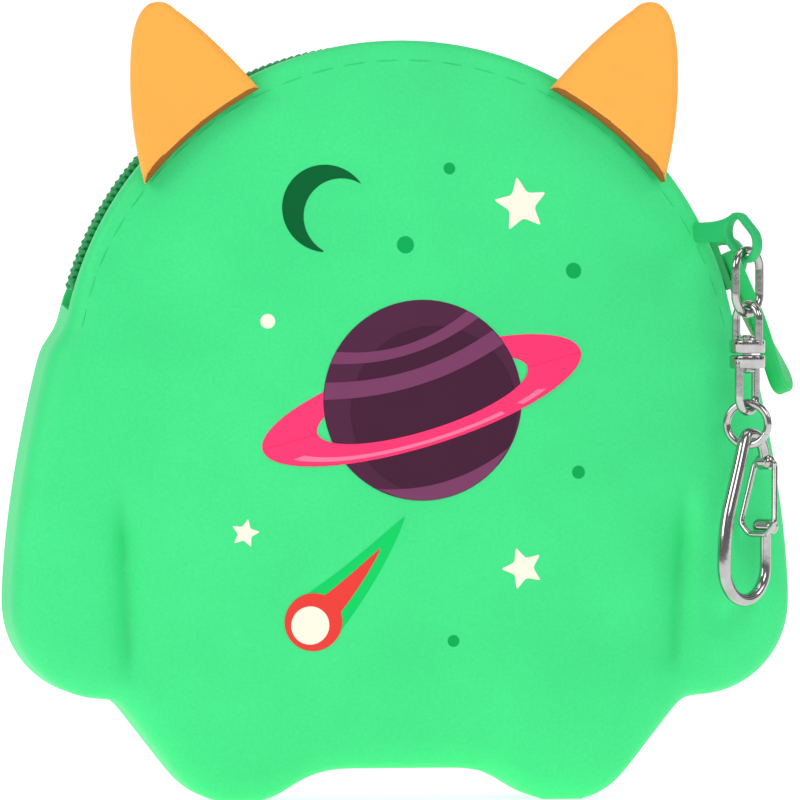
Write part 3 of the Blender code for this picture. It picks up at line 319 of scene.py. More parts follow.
def tube(
    points: np.ndarray,
    radius: float | np.ndarray,
    closed: bool = False,
    sides: int = 18,
    oval: float = 1.0,
    flat_axis: Point = (0.0, 1.0, 0.0),
) -> Shape:
    """Round or oval wire along a line, with domed ends where it is open.

    Args:
        points: Points of the line.
        radius: Radius of the wire, one for all points or one for each.
        closed: Whether the line is a loop.
        sides: Points round the wire.
        oval: Share of the radius that is kept along flat_axis.
        flat_axis: Direction that the wire's section is set by.

    Returns:
        Points and faces.
    """
    count = len(points)
    radii = np.broadcast_to(radius, count)
    ahead = np.roll(points, -1, axis=0) - np.roll(points, 1, axis=0)
    if not closed:
        ahead[0] = points[1] - points[0]
        ahead[-1] = points[-1] - points[-2]
    ahead /= np.linalg.norm(ahead, axis=1)[:, None]
    flat = np.array(flat_axis, float)
    side = np.zeros_like(points)
    for i in range(count):
        across = flat - ahead[i] * float(flat @ ahead[i])
        if np.linalg.norm(across) < LEAST_ACROSS:
            across = side[i - 1] - ahead[i] * float(side[i - 1] @ ahead[i])
        side[i] = across / np.linalg.norm(across)
    other = np.cross(ahead, side)
    angles = np.linspace(0.0, 2.0 * math.pi, sides, endpoint=False)

    def ring(i: int, scale: float, shift: float) -> np.ndarray:
        """Ring of the wire at a point.

        Args:
            i: Number of the point.
            scale: Share of the radius.
            shift: How far the ring is moved along the line.

        Returns:
            Points of the ring.
        """
        middle = points[i] + ahead[i] * shift
        section = np.cos(angles)[:, None] * side[i] * oval + np.sin(angles)[:, None] * other[i]
        return middle + radii[i] * scale * section

    rings = [ring(i, 1.0, 0.0) for i in range(count)]
    if not closed:
        start = [ring(0, math.sqrt(1 - s * s), -radii[0] * s * CAP_BULGE) for s in reversed(CAP_LIFTS)]
        end = [ring(count - 1, math.sqrt(1 - s * s), radii[-1] * s * CAP_BULGE) for s in CAP_LIFTS]
        rings = start + rings + end
    return loft(rings, along=closed, caps=not closed)


def lathe(profile: Sequence[Flat], place: Point, sides: int = 40) -> Shape:
    """Closed profile (radius, height) turned about a vertical axis.

    Args:
        profile: Points of the closed profile.
        place: Foot of the axis.
        sides: Points round the axis.

    Returns:
        Points and faces.
    """
    rings = []
    for angle in np.linspace(0.0, 2.0 * math.pi, sides, endpoint=False):
        x, y = math.cos(angle), math.sin(angle)
        rings.append(np.array([(place[0] + r * x, place[1] + r * y, place[2] + h) for r, h in profile]))
    return loft(rings, along=True)


def joined(parts: Sequence[Shape]) -> Shape:
    """Several shapes as one.

    Args:
        parts: Points and faces of each shape.

    Returns:
        Points and faces of all.
    """
    verts: list[np.ndarray] = []
    faces: Faces = []
    offset = 0
    for points, polygons in parts:
        verts.append(points)
        faces += [tuple(index + offset for index in polygon) for polygon in polygons]
        offset += len(points)
    return np.vstack(verts), faces


@dataclass(frozen=True)
class Finish:
    """A Principled finish with fine noise in its colour, roughness and bump."""

    name: str
    colour: Colour
    roughness: float
    metallic: float = 0.0
    colour_drift: float = 0.06
    drift_scale: float = 60.0
    drift_detail: float = 4.0
    drift_range: Flat = (0.32, 0.68)
    grain_scale: float = 2500.0
    grain_detail: float = 3.0
    grain_height: float = 0.02 * MM
    bump_strength: float = 0.6
    roughness_drift: float = 0.08
    least_roughness: float = 0.02
    speckle: float = 0.0
    specular: float = 0.5
    subsurface: float = 0.0
    subsurface_tint: Point = (0.4, 1.0, 0.5)
    subsurface_depth: float = 1.5 * MM
    sheen: float = 0.0
    coat: float = 0.0

    def noise(
        self, tree: bpy.types.NodeTree, place: bpy.types.Node, scale: float, detail: float
    ) -> bpy.types.Node:
        """Noise on a piece's own coordinates.

        Args:
            tree: Tree to add it to.
            place: Texture coordinate node.
            scale: How fine the noise is.
            detail: How many finer layers it has.

        Returns:
            The noise node.
        """
        noise = tree.nodes.new("ShaderNodeTexNoise")
        noise.inputs["Scale"].default_value = scale
        noise.inputs["Detail"].default_value = detail
        tree.links.new(place.outputs["Object"], noise.inputs["Vector"])
        return noise

    def spread(
        self, tree: bpy.types.NodeTree, noise: bpy.types.Node, low: float, high: float
    ) -> bpy.types.NodeSocket:
        """Noise stretched to run from low to high.

        Args:
            tree: Tree to add the node to.
            noise: Noise node.
            low: Value where the noise is 0.
            high: Value where it is 1.

        Returns:
            The socket that carries it.
        """
        node = tree.nodes.new("ShaderNodeMapRange")
        node.inputs["To Min"].default_value = low
        node.inputs["To Max"].default_value = high
        tree.links.new(noise.outputs["Fac"], node.inputs["Value"])
        return node.outputs["Result"]

    def drifting_colour(self, tree: bpy.types.NodeTree, drift: bpy.types.Node) -> bpy.types.NodeSocket:
        """Base colour that drifts a little from dark to light.

        Args:
            tree: Tree to add the nodes to.
            drift: Broad noise node.

        Returns:
            The socket that carries the colour.
        """
        ramp = tree.nodes.new("ShaderNodeValToRGB")
        base = np.array(linear(self.colour))
        dark = base * (1.0 - self.colour_drift)
        light = np.clip(base * (1.0 + self.colour_drift), 0.0, 1.0)
        for stop, position, colour in zip(ramp.color_ramp.elements, self.drift_range, (dark, light)):
            stop.position = position
            stop.color = (colour[0], colour[1], colour[2], 1.0)
        tree.links.new(drift.outputs["Fac"], ramp.inputs["Fac"])
        return ramp.outputs["Color"]

    def build(self) -> bpy.types.Material:
        """Material with this finish."""
        material = bpy.data.materials.new(self.name)
        material.use_nodes = True
        tree = material.node_tree
        shader = tree.nodes["Principled BSDF"]
        place = tree.nodes.new("ShaderNodeTexCoord")
        drift = self.noise(tree, place, self.drift_scale, self.drift_detail)
        grain = self.noise(tree, place, self.grain_scale, self.grain_detail)
        tint = tree.nodes.new("ShaderNodeMix")
        tint.data_type = "RGBA"
        tint.blend_type = "MULTIPLY"
        tint.inputs["Factor"].default_value = 1.0
        tree.links.new(self.drifting_colour(tree, drift), tint.inputs["A"])
        tree.links.new(self.spread(tree, grain, 1.0 - self.speckle, 1.0 + self.speckle), tint.inputs["B"])
        tree.links.new(tint.outputs["Result"], shader.inputs["Base Color"])
        smoothest = max(self.roughness - self.roughness_drift, self.least_roughness)
        roughest = min(self.roughness + self.roughness_drift, 1.0)
        tree.links.new(self.spread(tree, grain, smoothest, roughest), shader.inputs["Roughness"])
        bump = tree.nodes.new("ShaderNodeBump")
        bump.inputs["Strength"].default_value = self.bump_strength
        bump.inputs["Distance"].default_value = self.grain_height
        tree.links.new(grain.outputs["Fac"], bump.inputs["Height"])
        tree.links.new(bump.outputs["Normal"], shader.inputs["Normal"])
        shader.inputs["Metallic"].default_value = self.metallic
        shader.inputs["Specular IOR Level"].default_value = self.specular
        shader.inputs["Subsurface Weight"].default_value = self.subsurface
        shader.inputs["Subsurface Radius"].default_value = self.subsurface_tint
        shader.inputs["Subsurface Scale"].default_value = self.subsurface_depth
        shader.inputs["Sheen Weight"].default_value = self.sheen
        shader.inputs["Coat Weight"].default_value = self.coat
        self.dress(tree, shader)
        return material

    def dress(self, tree: bpy.types.NodeTree, shader: bpy.types.ShaderNode) -> None:
        """Add what only one finish has. The plain finish adds nothing."""


@dataclass(frozen=True)
class WovenFinish(Finish):
    """A finish with fine ribs in its bump, for the zip's tape."""

    rib_scale: float = 1800.0
    rib_waver: float = 0.6
    rib_height: float = 0.08 * MM
    rib_strength: float = 0.8

    def dress(self, tree: bpy.types.NodeTree, shader: bpy.types.ShaderNode) -> None:
        """Put the ribs of the weave in the place of the grain's bump.

        Args:
            tree: Node tree of the material being built.
            shader: Its Principled shader.
        """
        place = tree.nodes.new("ShaderNodeTexCoord")
        ribs = tree.nodes.new("ShaderNodeTexWave")
        ribs.bands_direction = "Y"
        ribs.inputs["Scale"].default_value = self.rib_scale
        ribs.inputs["Distortion"].default_value = self.rib_waver
        tree.links.new(place.outputs["Object"], ribs.inputs["Vector"])
        bump = tree.nodes.new("ShaderNodeBump")
        bump.inputs["Strength"].default_value = self.rib_strength
        bump.inputs["Distance"].default_value = self.rib_height
        tree.links.new(ribs.outputs["Fac"], bump.inputs["Height"])
        tree.links.new(bump.outputs["Normal"], shader.inputs["Normal"])


@dataclass
class Finishes:
    """Every material of the purse, built once."""

    silicone: bpy.types.Material = field(init=False)
    strap: bpy.types.Material = field(init=False)
    tab: bpy.types.Material = field(init=False)
    horn: bpy.types.Material = field(init=False)
    horn_edge_painted_shade: bpy.types.Material = field(init=False)
    nickel: bpy.types.Material = field(init=False)
    thread: bpy.types.Material = field(init=False)
    coil: bpy.types.Material = field(init=False)
    tape: bpy.types.Material = field(init=False)
    slider: bpy.types.Material = field(init=False)
    inks: dict[Ink, bpy.types.Material] = field(default_factory=dict)

    def __post_init__(self) -> None:
        """Build the materials."""
        self.silicone = Finish(
            "purse_silicone", (56, 222, 132), 0.55, colour_drift=0.035, grain_scale=2200.0,
            speckle=0.08, specular=0.4, subsurface=0.12,
        ).build()
        self.strap = Finish(
            "strap_silicone", (34, 200, 108), 0.5, speckle=0.05, specular=0.35, subsurface=0.12,
        ).build()
        # The key tab is the body's silicone; its darker green is painted shade of the tab's underside.
        self.tab = Finish(
            "tab_silicone", (40, 184, 108), 0.5, colour_drift=0.05, speckle=0.03, specular=0.3,
            subsurface=0.1,
        ).build()
        self.horn = Finish(
            "horn_silicone", (250, 172, 67), 0.55, colour_drift=0.03, speckle=0.025, specular=0.4,
            subsurface=0.12,
        ).build()
        self.nickel = Finish(
            "polished_nickel", (178, 177, 176), 0.11, metallic=1.0, colour_drift=0.12, drift_scale=400.0,
            roughness_drift=0.05, grain_scale=900.0, grain_height=0.012 * MM,
        ).build()
        # Stitch thread is the body's green, darkened a little as painted shade of the stitch dents.
        self.thread = Finish("stitch_thread", (46, 210, 121), 0.7, colour_drift=0.08, specular=0.3).build()
        # Dark brown painted shade for the strip along each horn's lower edge, where the plate's underside
        # lies in shadow.
        self.horn_edge_painted_shade = Finish("horn_base_edge", (150, 88, 22), 0.6, colour_drift=0.08, specular=0.3).build()
        self.coil = Finish(
            "coil_nylon", (26, 156, 86), 0.42, colour_drift=0.12, drift_scale=900.0, specular=0.35,
        ).build()
        self.tape = WovenFinish("tape_weave", (20, 128, 72), 0.8, colour_drift=0.1, sheen=0.3).build()
        self.slider = Finish("slider_enamel", (40, 176, 100), 0.3, colour_drift=0.05, coat=0.3).build()

    def ink(self, colour: Ink) -> bpy.types.Material:
        """Smooth printed ink of one colour, built when it is first asked for.

        Args:
            colour: Which ink.

        Returns:
            Its material.
        """
        if colour not in self.inks:
            self.inks[colour] = Finish(
                f"ink_{colour.name.lower()}", colour.value, 0.55, colour_drift=0.02, speckle=0.02,
                specular=0.08, grain_height=0.008 * MM,
            ).build()
        return self.inks[colour]


@dataclass
class PurseForm:
    """The purse's outline and skin as formulas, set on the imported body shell.

    Angles are in degrees. Plain places are (x, z) about the purse's middle.
    """

    dome_radius: float = 52.0 * MM
    dome_z: float = 63.4 * MM
    dome_end: float = 10.2
    shoulder: Flat = (53.7 * MM, 69.3 * MM)
    shoulder_control: Flat = (51.9 * MM, 70.6 * MM)
    side_control: Flat = (59.4 * MM, 47.0 * MM)
    arm: Flat = (45.5 * MM, 30.0 * MM)
    arm_radius: float = 14.3 * MM
    arm_end: float = -98.0
    foot: Flat = (24.8 * MM, 11.7 * MM)
    foot_radius: float = 12.2 * MM
    foot_start: float = -40.0
    foot_inner: float = 6.8 * MM
    base: Flat = (9.0 * MM, 4.9 * MM)
    base_control_x: float = 13.5 * MM
    sole_tolerance: float = 0.02 * MM
    front_depth: float = 14.0 * MM
    back_depth: float = 11.0 * MM
    dome_side: float = 7.0 * MM
    body_side: float = 6.0 * MM
    swell: float = 3.2 * MM
    swell_full: float = 2.0
    swell_none: float = 26.0
    edge: float = 4.6 * MM
    bulge_power: int = 5
    wall: float = 2.0 * MM
    slot_half: float = 4.3 * MM
    slot_end: float = 12.6
    rim_fillet: float = 1.3 * MM
    rear_rim_fillet: float = 2.2 * MM
    rim_fade: float = 6.0
    rear_rim_drop: float = 0.8 * MM
    drop_margin: float = 1.0
    drop_fade: float = 8.0
    drop_from: float = 0.35
    drop_over: float = 0.5
    crease_x: float = 43.2 * MM
    crease_lean: float = 0.042
    crease_lean_z: float = 46.5 * MM
    crease_top: float = 50.0 * MM
    crease_top_fade: float = 10.0 * MM
    crease_bottom: float = 15.0 * MM
    crease_bottom_fade: float = 9.0 * MM
    crease_depth: float = 3.0 * MM
    crease_body_width: float = 2.9 * MM
    crease_arm_width: float = 1.7 * MM
    crease_sharpness: float = 0.45 * MM
    arm_swell: float = 0.8 * MM
    arm_swell_out: float = 7.5 * MM
    arm_swell_width: float = 4.5 * MM
    knee: Flat = (25.0 * MM, 12.0 * MM)
    knee_width: Flat = (9.0 * MM, 8.0 * MM)
    knee_swell: float = 0.7 * MM
    rear_relief: float = 0.5
    relief_power: int = 10
    half_count: int = 260
    corner_stations: int = 2
    soft_stations: int = 16
    mid_x: float = field(init=False)
    mid_y: float = field(init=False)
    outline: np.ndarray = field(init=False)
    reach: np.ndarray = field(init=False)
    soft_reach: np.ndarray = field(init=False)
    aim: np.ndarray = field(init=False)
    theta: np.ndarray = field(init=False)

    def __post_init__(self) -> None:
        """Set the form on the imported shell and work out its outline."""
        low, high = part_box("body_shell")
        self.mid_x = (low[0] + high[0]) / 2
        self.mid_y = high[1] - self.back_depth
        self.outline = self.build_outline()
        offset = self.outline - np.array([0.0, self.dome_z])
        self.reach = np.linalg.norm(offset, axis=1)
        self.aim = offset / self.reach[:, None]
        self.theta = np.unwrap(np.arctan2(offset[:, 1], offset[:, 0]))
        self.soft_reach = self.blurred(self.reach, self.soft_stations)

    def blurred(self, values: np.ndarray, width: int) -> np.ndarray:
        """Values round the outline, smoothed.

        Args:
            values: One value for each station.
            width: Spread of the smoothing, in stations.

        Returns:
            Array of as many values.
        """
        reach = 3 * width
        kernel = np.exp(-0.5 * (np.arange(-reach, reach + 1) / width) ** 2)
        kernel /= kernel.sum()
        padded = np.concatenate([values[-reach:], values, values[:reach]])
        return np.convolve(padded, kernel, mode="valid")

    def build_outline(self) -> np.ndarray:
        """Closed outline about the purse's middle, clockwise seen from the front, from the dome's top."""
        end = math.radians(self.dome_end)
        dome_end = (self.dome_radius * math.cos(end), self.dome_z + self.dome_radius * math.sin(end))
        arm_side = (self.arm[0] + self.arm_radius, self.arm[1])
        arm_end = arc(self.arm, self.arm_radius, self.arm_end, self.arm_end, count=1)
        foot_start = arc(self.foot, self.foot_radius, self.foot_start, self.foot_start, count=1)
        sole = math.degrees(math.asin(-self.foot[1] / self.foot_radius))
        inner = math.degrees(math.acos(self.foot_inner / self.foot_radius)) - 180.0
        inner_z = self.foot[1] + self.foot_radius * math.sin(math.radians(inner))
        inner_end = (self.foot[0] - self.foot_inner, inner_z)
        right = np.vstack([
            arc((0.0, self.dome_z), self.dome_radius, 90.0, self.dome_end, count=90),
            bend(dome_end, self.shoulder_control, self.shoulder, count=12),
            bend(self.shoulder, self.side_control, arm_side, count=40),
            arc(self.arm, self.arm_radius, 0.0, self.arm_end, count=60),
            np.linspace(arm_end[0], foot_start[0], num=20, endpoint=False),
            arc(self.foot, self.foot_radius, self.foot_start, sole, count=20),
            arc(self.foot, self.foot_radius, sole, -180.0 - sole, count=1),
            arc(self.foot, self.foot_radius, -180.0 - sole, inner, count=12),
            bend(inner_end, (self.base_control_x, self.base[1]), self.base, count=16),
            [self.base, (0.0, self.base[1])],
        ])
        right = resample(right, self.half_count + 1)
        left = right[1:-1][::-1] * np.array([-1.0, 1.0])
        loop = np.vstack([right, left])
        soft = np.stack([self.blurred(loop[:, k], self.corner_stations) for k in (0, 1)], axis=1)
        soft[:, 1] = np.maximum(soft[:, 1], 0.0)
        on_sole = loop[:, 1] < self.sole_tolerance
        soft[on_sole] = loop[on_sole]
        return soft

    def folded(self, theta: np.ndarray) -> np.ndarray:
        """Angle above the dome's centre line in degrees, the same left and right."""
        return np.degrees(np.arctan2(np.sin(theta), np.abs(np.cos(theta))))

    def rim_drop(self, side: Side) -> np.ndarray:
        """How far a moulding's rim lies under the outline: the rear one sinks behind the coil on the left.

        Args:
            side: Front or rear moulding.

        Returns:
            One drop for each station of the outline.
        """
        on_rim = smooth_step((self.folded(self.theta) - self.slot_end - self.drop_margin) / self.drop_fade)
        on_left = smooth_step((self.drop_from - np.cos(self.theta)) / self.drop_over)
        return self.rear_rim_drop * on_rim * on_left * (side is Side.REAR)

    def reach_at(self, theta: np.ndarray, table: np.ndarray) -> np.ndarray:
        """Reach in some directions.

        Args:
            theta: Directions from the dome's centre.
            table: Reach at each station of the outline.

        Returns:
            Array of as many reaches.
        """
        full = 2 * math.pi
        stations = np.mod(self.theta, full)
        order = np.argsort(stations)
        return np.interp(np.mod(theta, full), stations[order], table[order], period=full)

    def depth(
        self, theta: np.ndarray, radius: np.ndarray, reach: np.ndarray, soft: np.ndarray, side: Side
    ) -> np.ndarray:
        """Half depth of the skin.

        Args:
            theta: Directions from the dome's centre.
            radius: Distances from it.
            reach: Outline's reach in these directions.
            soft: Its smoothed reach.
            side: Front or rear skin.

        Returns:
            Distance of the skin from the purse's middle plane.
        """
        angle = self.folded(theta)
        low = smooth_step((self.swell_none - angle) / (self.swell_none - self.swell_full))
        flat_side = self.dome_side + (self.body_side - self.dome_side) * low
        swell = self.swell * low
        middle = self.front_depth if side is Side.FRONT else self.back_depth
        inset = np.clip(reach - radius, 0.0, None)
        turn = np.clip(1.0 - inset / self.edge, 0.0, 1.0)
        rounded = swell * np.sqrt(1.0 - turn * turn)
        share = np.clip(radius / reach, 0.0, 1.0)
        bulge_reach = soft + (reach - soft) * share**self.bulge_power
        belly = (middle - flat_side - swell) * np.clip(1.0 - (radius / bulge_reach) ** 2, 0.0, 1.0)
        on_rim = smooth_step((angle - self.slot_end) / self.rim_fade)
        round_off = self.rim_fillet + (self.rear_rim_fillet - self.rim_fillet) * on_rim * (side is Side.REAR)
        corner = np.clip(round_off - inset, 0.0, None)
        fillet = round_off - np.sqrt(np.maximum(round_off**2 - corner**2, 0.0))
        x = radius * np.cos(theta)
        z = self.dome_z + radius * np.sin(theta)
        detail = self.relief(x, z, side) * (1.0 - share**self.relief_power)
        return flat_side + rounded + belly - fillet + detail

    def relief(self, x: np.ndarray, z: np.ndarray, side: Side) -> np.ndarray:
        """Height of the arm creases, arms and knees over the plain skin.

        Args:
            x: Distances right of the middle.
            z: Heights.
            side: Front or rear skin.

        Returns:
            Height at each point.
        """
        across = np.abs(x)
        away = across - self.crease_x + self.crease_lean * (self.crease_lean_z - z)
        top = smooth_step((self.crease_top - z) / self.crease_top_fade)
        bottom = smooth_step((z - self.crease_bottom) / self.crease_bottom_fade)
        width = np.where(away < 0.0, self.crease_body_width, self.crease_arm_width)
        soft = np.sqrt(away**2 + self.crease_sharpness**2) - self.crease_sharpness
        crease = -self.crease_depth * np.exp(-soft / width) * top * bottom
        arm = np.exp(-0.5 * ((away - self.arm_swell_out) / self.arm_swell_width) ** 2)
        knee_x = (across - self.knee[0]) / self.knee_width[0]
        knee_z = (z - self.knee[1]) / self.knee_width[1]
        knee = self.knee_swell * np.exp(-0.5 * (knee_x**2 + knee_z**2))
        share = 1.0 if side is Side.FRONT else self.rear_relief
        return share * (crease + self.arm_swell * arm * top * bottom + knee)

    def skin_y(self, x: np.ndarray, z: np.ndarray, side: Side = Side.FRONT) -> np.ndarray:
        """World Y of the outer skin over points given about the purse's middle.

        Args:
            x: Distances right of the middle.
            z: Heights.
            side: Front or rear skin.

        Returns:
            Y of the skin at each point.
        """
        theta = np.arctan2(z - self.dome_z, x)
        radius = np.hypot(x, z - self.dome_z)
        drop = self.rim_drop(side)
        reach = self.reach_at(theta, self.reach - drop)
        soft = self.reach_at(theta, self.soft_reach - drop)
        return self.mid_y + side.value * self.depth(theta, radius, reach, soft, side)

    def world(self, x: float, y: float, z: float) -> Point:
        """World point of a place about the purse's middle."""
        return (self.mid_x + x, self.mid_y + y, z)

    def dome_point(self, radius: float, degrees: float, y: float) -> Point:
        """World point round the dome's centre."""
        angle = math.radians(degrees)
        return self.world(radius * math.cos(angle), y, self.dome_z + radius * math.sin(angle))


def bend_with_mouth(piece: bpy.types.Object) -> None:
    """Bake a front piece's transform into its mesh."""
    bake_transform(piece)


@dataclass
class Skins:
    """Front and rear silicone mouldings, each a closed wall lofted round the dome's centre."""

    form: PurseForm
    finishes: Finishes
    first_share: float = 0.02
    coarse_rings: int = 14
    fine_rings: int = 42
    fine_from: float = 0.58
    lining_rings: int = 20
    edge_insets: tuple[float, ...] = (
        1.0, 0.84, 0.69, 0.55, 0.42, 0.31, 0.22, 0.155, 0.11, 0.075, 0.045, 0.02, 0.005, 0.0,
    )

    def radial_rings(self, side: Side, shrink: float, thin: float, shares: np.ndarray) -> list[np.ndarray]:
        """Rings of one skin from its middle to its rim.

        Args:
            side: Front or rear skin.
            shrink: How far the outline is drawn in.
            thin: How far the skin lies inside the outer one.
            shares: Where the rings lie between the middle and the rounded edge.

        Returns:
            Rings of world points.
        """
        form = self.form
        drop = form.rim_drop(side)
        reach = form.reach - drop - shrink
        soft = form.soft_reach - drop - shrink
        radii = [(reach - form.edge) * share for share in shares]
        radii += [reach - form.edge * inset for inset in self.edge_insets]
        rings = []
        for radius in radii:
            depth = form.depth(form.theta, radius, reach, soft, side) - thin
            if thin > 0.0:
                depth = np.maximum(depth, form.slot_half)
            rings.append(self.ring(radius, side.value * depth))
        return rings

    def ring(self, radius: np.ndarray, y: np.ndarray) -> np.ndarray:
        """One ring round the dome's centre.

        Args:
            radius: Distance from the centre at each station of the outline.
            y: Distance from the middle plane at each station.

        Returns:
            World points.
        """
        form = self.form
        x = form.mid_x + radius * form.aim[:, 0]
        z = form.dome_z + radius * form.aim[:, 1]
        return np.stack([x, form.mid_y + y, z], axis=1)

    def build_skin(self, name: str, side: Side) -> bpy.types.Object:
        """One moulding, with its lip along the zip's slot.

        Args:
            name: Name of the piece.
            side: Front or rear moulding.

        Returns:
            The piece.
        """
        form = self.form
        in_slot = form.folded(form.theta) > form.slot_end
        slot_y = np.where(in_slot, float(side.value), -1.0) * form.slot_half
        coarse = np.linspace(self.first_share, self.fine_from, self.coarse_rings, endpoint=False)
        fine = np.linspace(self.fine_from, 1.0, self.fine_rings, endpoint=False)
        outer = self.radial_rings(side, 0.0, 0.0, np.concatenate([coarse, fine]))
        lining = np.linspace(self.first_share, 1.0, self.lining_rings, endpoint=False)
        inner = self.radial_rings(side, form.wall, form.wall, lining)
        rim = form.reach - form.rim_drop(side)
        lip = [self.ring(rim, slot_y), self.ring(rim - form.wall, slot_y)]
        skin = make_object(name, loft(outer + lip + inner[::-1], caps=True), self.finishes.silicone)
        return skin

    def build(self) -> None:
        """Both mouldings: the front has its transform baked, the rear rides on the pouch."""
        front = self.build_skin("front_moulding", Side.FRONT)
        rear = self.build_skin("rear_moulding", Side.REAR)
        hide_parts("front_panel")
        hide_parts("body_shell")
        bend_with_mouth(front)
        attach(rear, "pouch")
        LOG.info("front and rear mouldings: %d faces", len(front.data.polygons) + len(rear.data.polygons))


@dataclass
class BeadTree:
    """Geometry Nodes tree that sets rounded beads along a line: stitches and the coil's turns.

    The tilt, in radians, turns each bead about its own Y.
    """

    name: str
    count: int
    size: Point
    tilt: float
    material: bpy.types.Material
    segments: int = 8
    rings: int = 6

    def build(self) -> bpy.types.GeometryNodeTree:
        """The tree, with named inputs for the beads' count, size and tilt."""
        tree = bpy.data.node_groups.new(self.name, "GeometryNodeTree")
        face = tree.interface
        face.new_socket("Line", in_out="INPUT", socket_type="NodeSocketGeometry")
        face.new_socket("Count", in_out="INPUT", socket_type="NodeSocketInt")
        face.new_socket("Size", in_out="INPUT", socket_type="NodeSocketVector")
        face.new_socket("Tilt", in_out="INPUT", socket_type="NodeSocketFloat")
        face.new_socket("Beads", in_out="OUTPUT", socket_type="NodeSocketGeometry")
        nodes, links = tree.nodes, tree.links
        given = nodes.new("NodeGroupInput")
        result = nodes.new("NodeGroupOutput")
        curve = nodes.new("GeometryNodeMeshToCurve")
        points = nodes.new("GeometryNodeCurveToPoints")
        points.mode = "COUNT"
        bead = nodes.new("GeometryNodeMeshUVSphere")
        bead.inputs["Segments"].default_value = self.segments
        bead.inputs["Rings"].default_value = self.rings
        bead.inputs["Radius"].default_value = 0.5
        turn = nodes.new("FunctionNodeRotateRotation")
        turn.rotation_space = "LOCAL"
        euler = nodes.new("ShaderNodeCombineXYZ")
        as_rotation = nodes.new("FunctionNodeEulerToRotation")
        spread = nodes.new("GeometryNodeInstanceOnPoints")
        real = nodes.new("GeometryNodeRealizeInstances")
        smooth = nodes.new("GeometryNodeSetShadeSmooth")
        finish = nodes.new("GeometryNodeSetMaterial")
        finish.inputs["Material"].default_value = self.material
        links.new(given.outputs["Line"], curve.inputs["Mesh"])
        links.new(curve.outputs["Curve"], points.inputs["Curve"])
        links.new(given.outputs["Count"], points.inputs["Count"])
        links.new(given.outputs["Tilt"], euler.inputs["Y"])
        links.new(euler.outputs["Vector"], as_rotation.inputs["Euler"])
        links.new(points.outputs["Rotation"], turn.inputs["Rotation"])
        links.new(as_rotation.outputs["Rotation"], turn.inputs["Rotate By"])
        links.new(points.outputs["Points"], spread.inputs["Points"])
        links.new(bead.outputs["Mesh"], spread.inputs["Instance"])
        links.new(turn.outputs["Rotation"], spread.inputs["Rotation"])
        links.new(given.outputs["Size"], spread.inputs["Scale"])
        links.new(spread.outputs["Instances"], real.inputs["Geometry"])
        links.new(real.outputs["Geometry"], smooth.inputs["Geometry"])
        links.new(smooth.outputs["Geometry"], finish.inputs["Geometry"])
        links.new(finish.outputs["Geometry"], result.inputs["Beads"])
        return tree

    def make(self, piece_name: str, line: np.ndarray) -> bpy.types.Object:
        """Beads along a line as a plain mesh.

        Args:
            piece_name: Name of the piece.
            line: Points of the line.

        Returns:
            The piece.
        """
        mesh = bpy.data.meshes.new(f"{piece_name}_line")
        mesh.from_pydata([tuple(p) for p in line], [(i, i + 1) for i in range(len(line) - 1)], [])
        guide = link_object(mesh.name, mesh)
        tree = self.build()
        modifier = guide.modifiers.new("Beads", "NODES")
        modifier.node_group = tree
        values = {"Count": self.count, "Size": self.size, "Tilt": self.tilt}
        for item in tree.interface.items_tree:
            if item.in_out == "INPUT" and item.name in values:
                modifier[item.identifier] = values[item.name]
        beads = taken_mesh(guide, piece_name)
        beads.shade_smooth()
        return link_object(piece_name, beads)


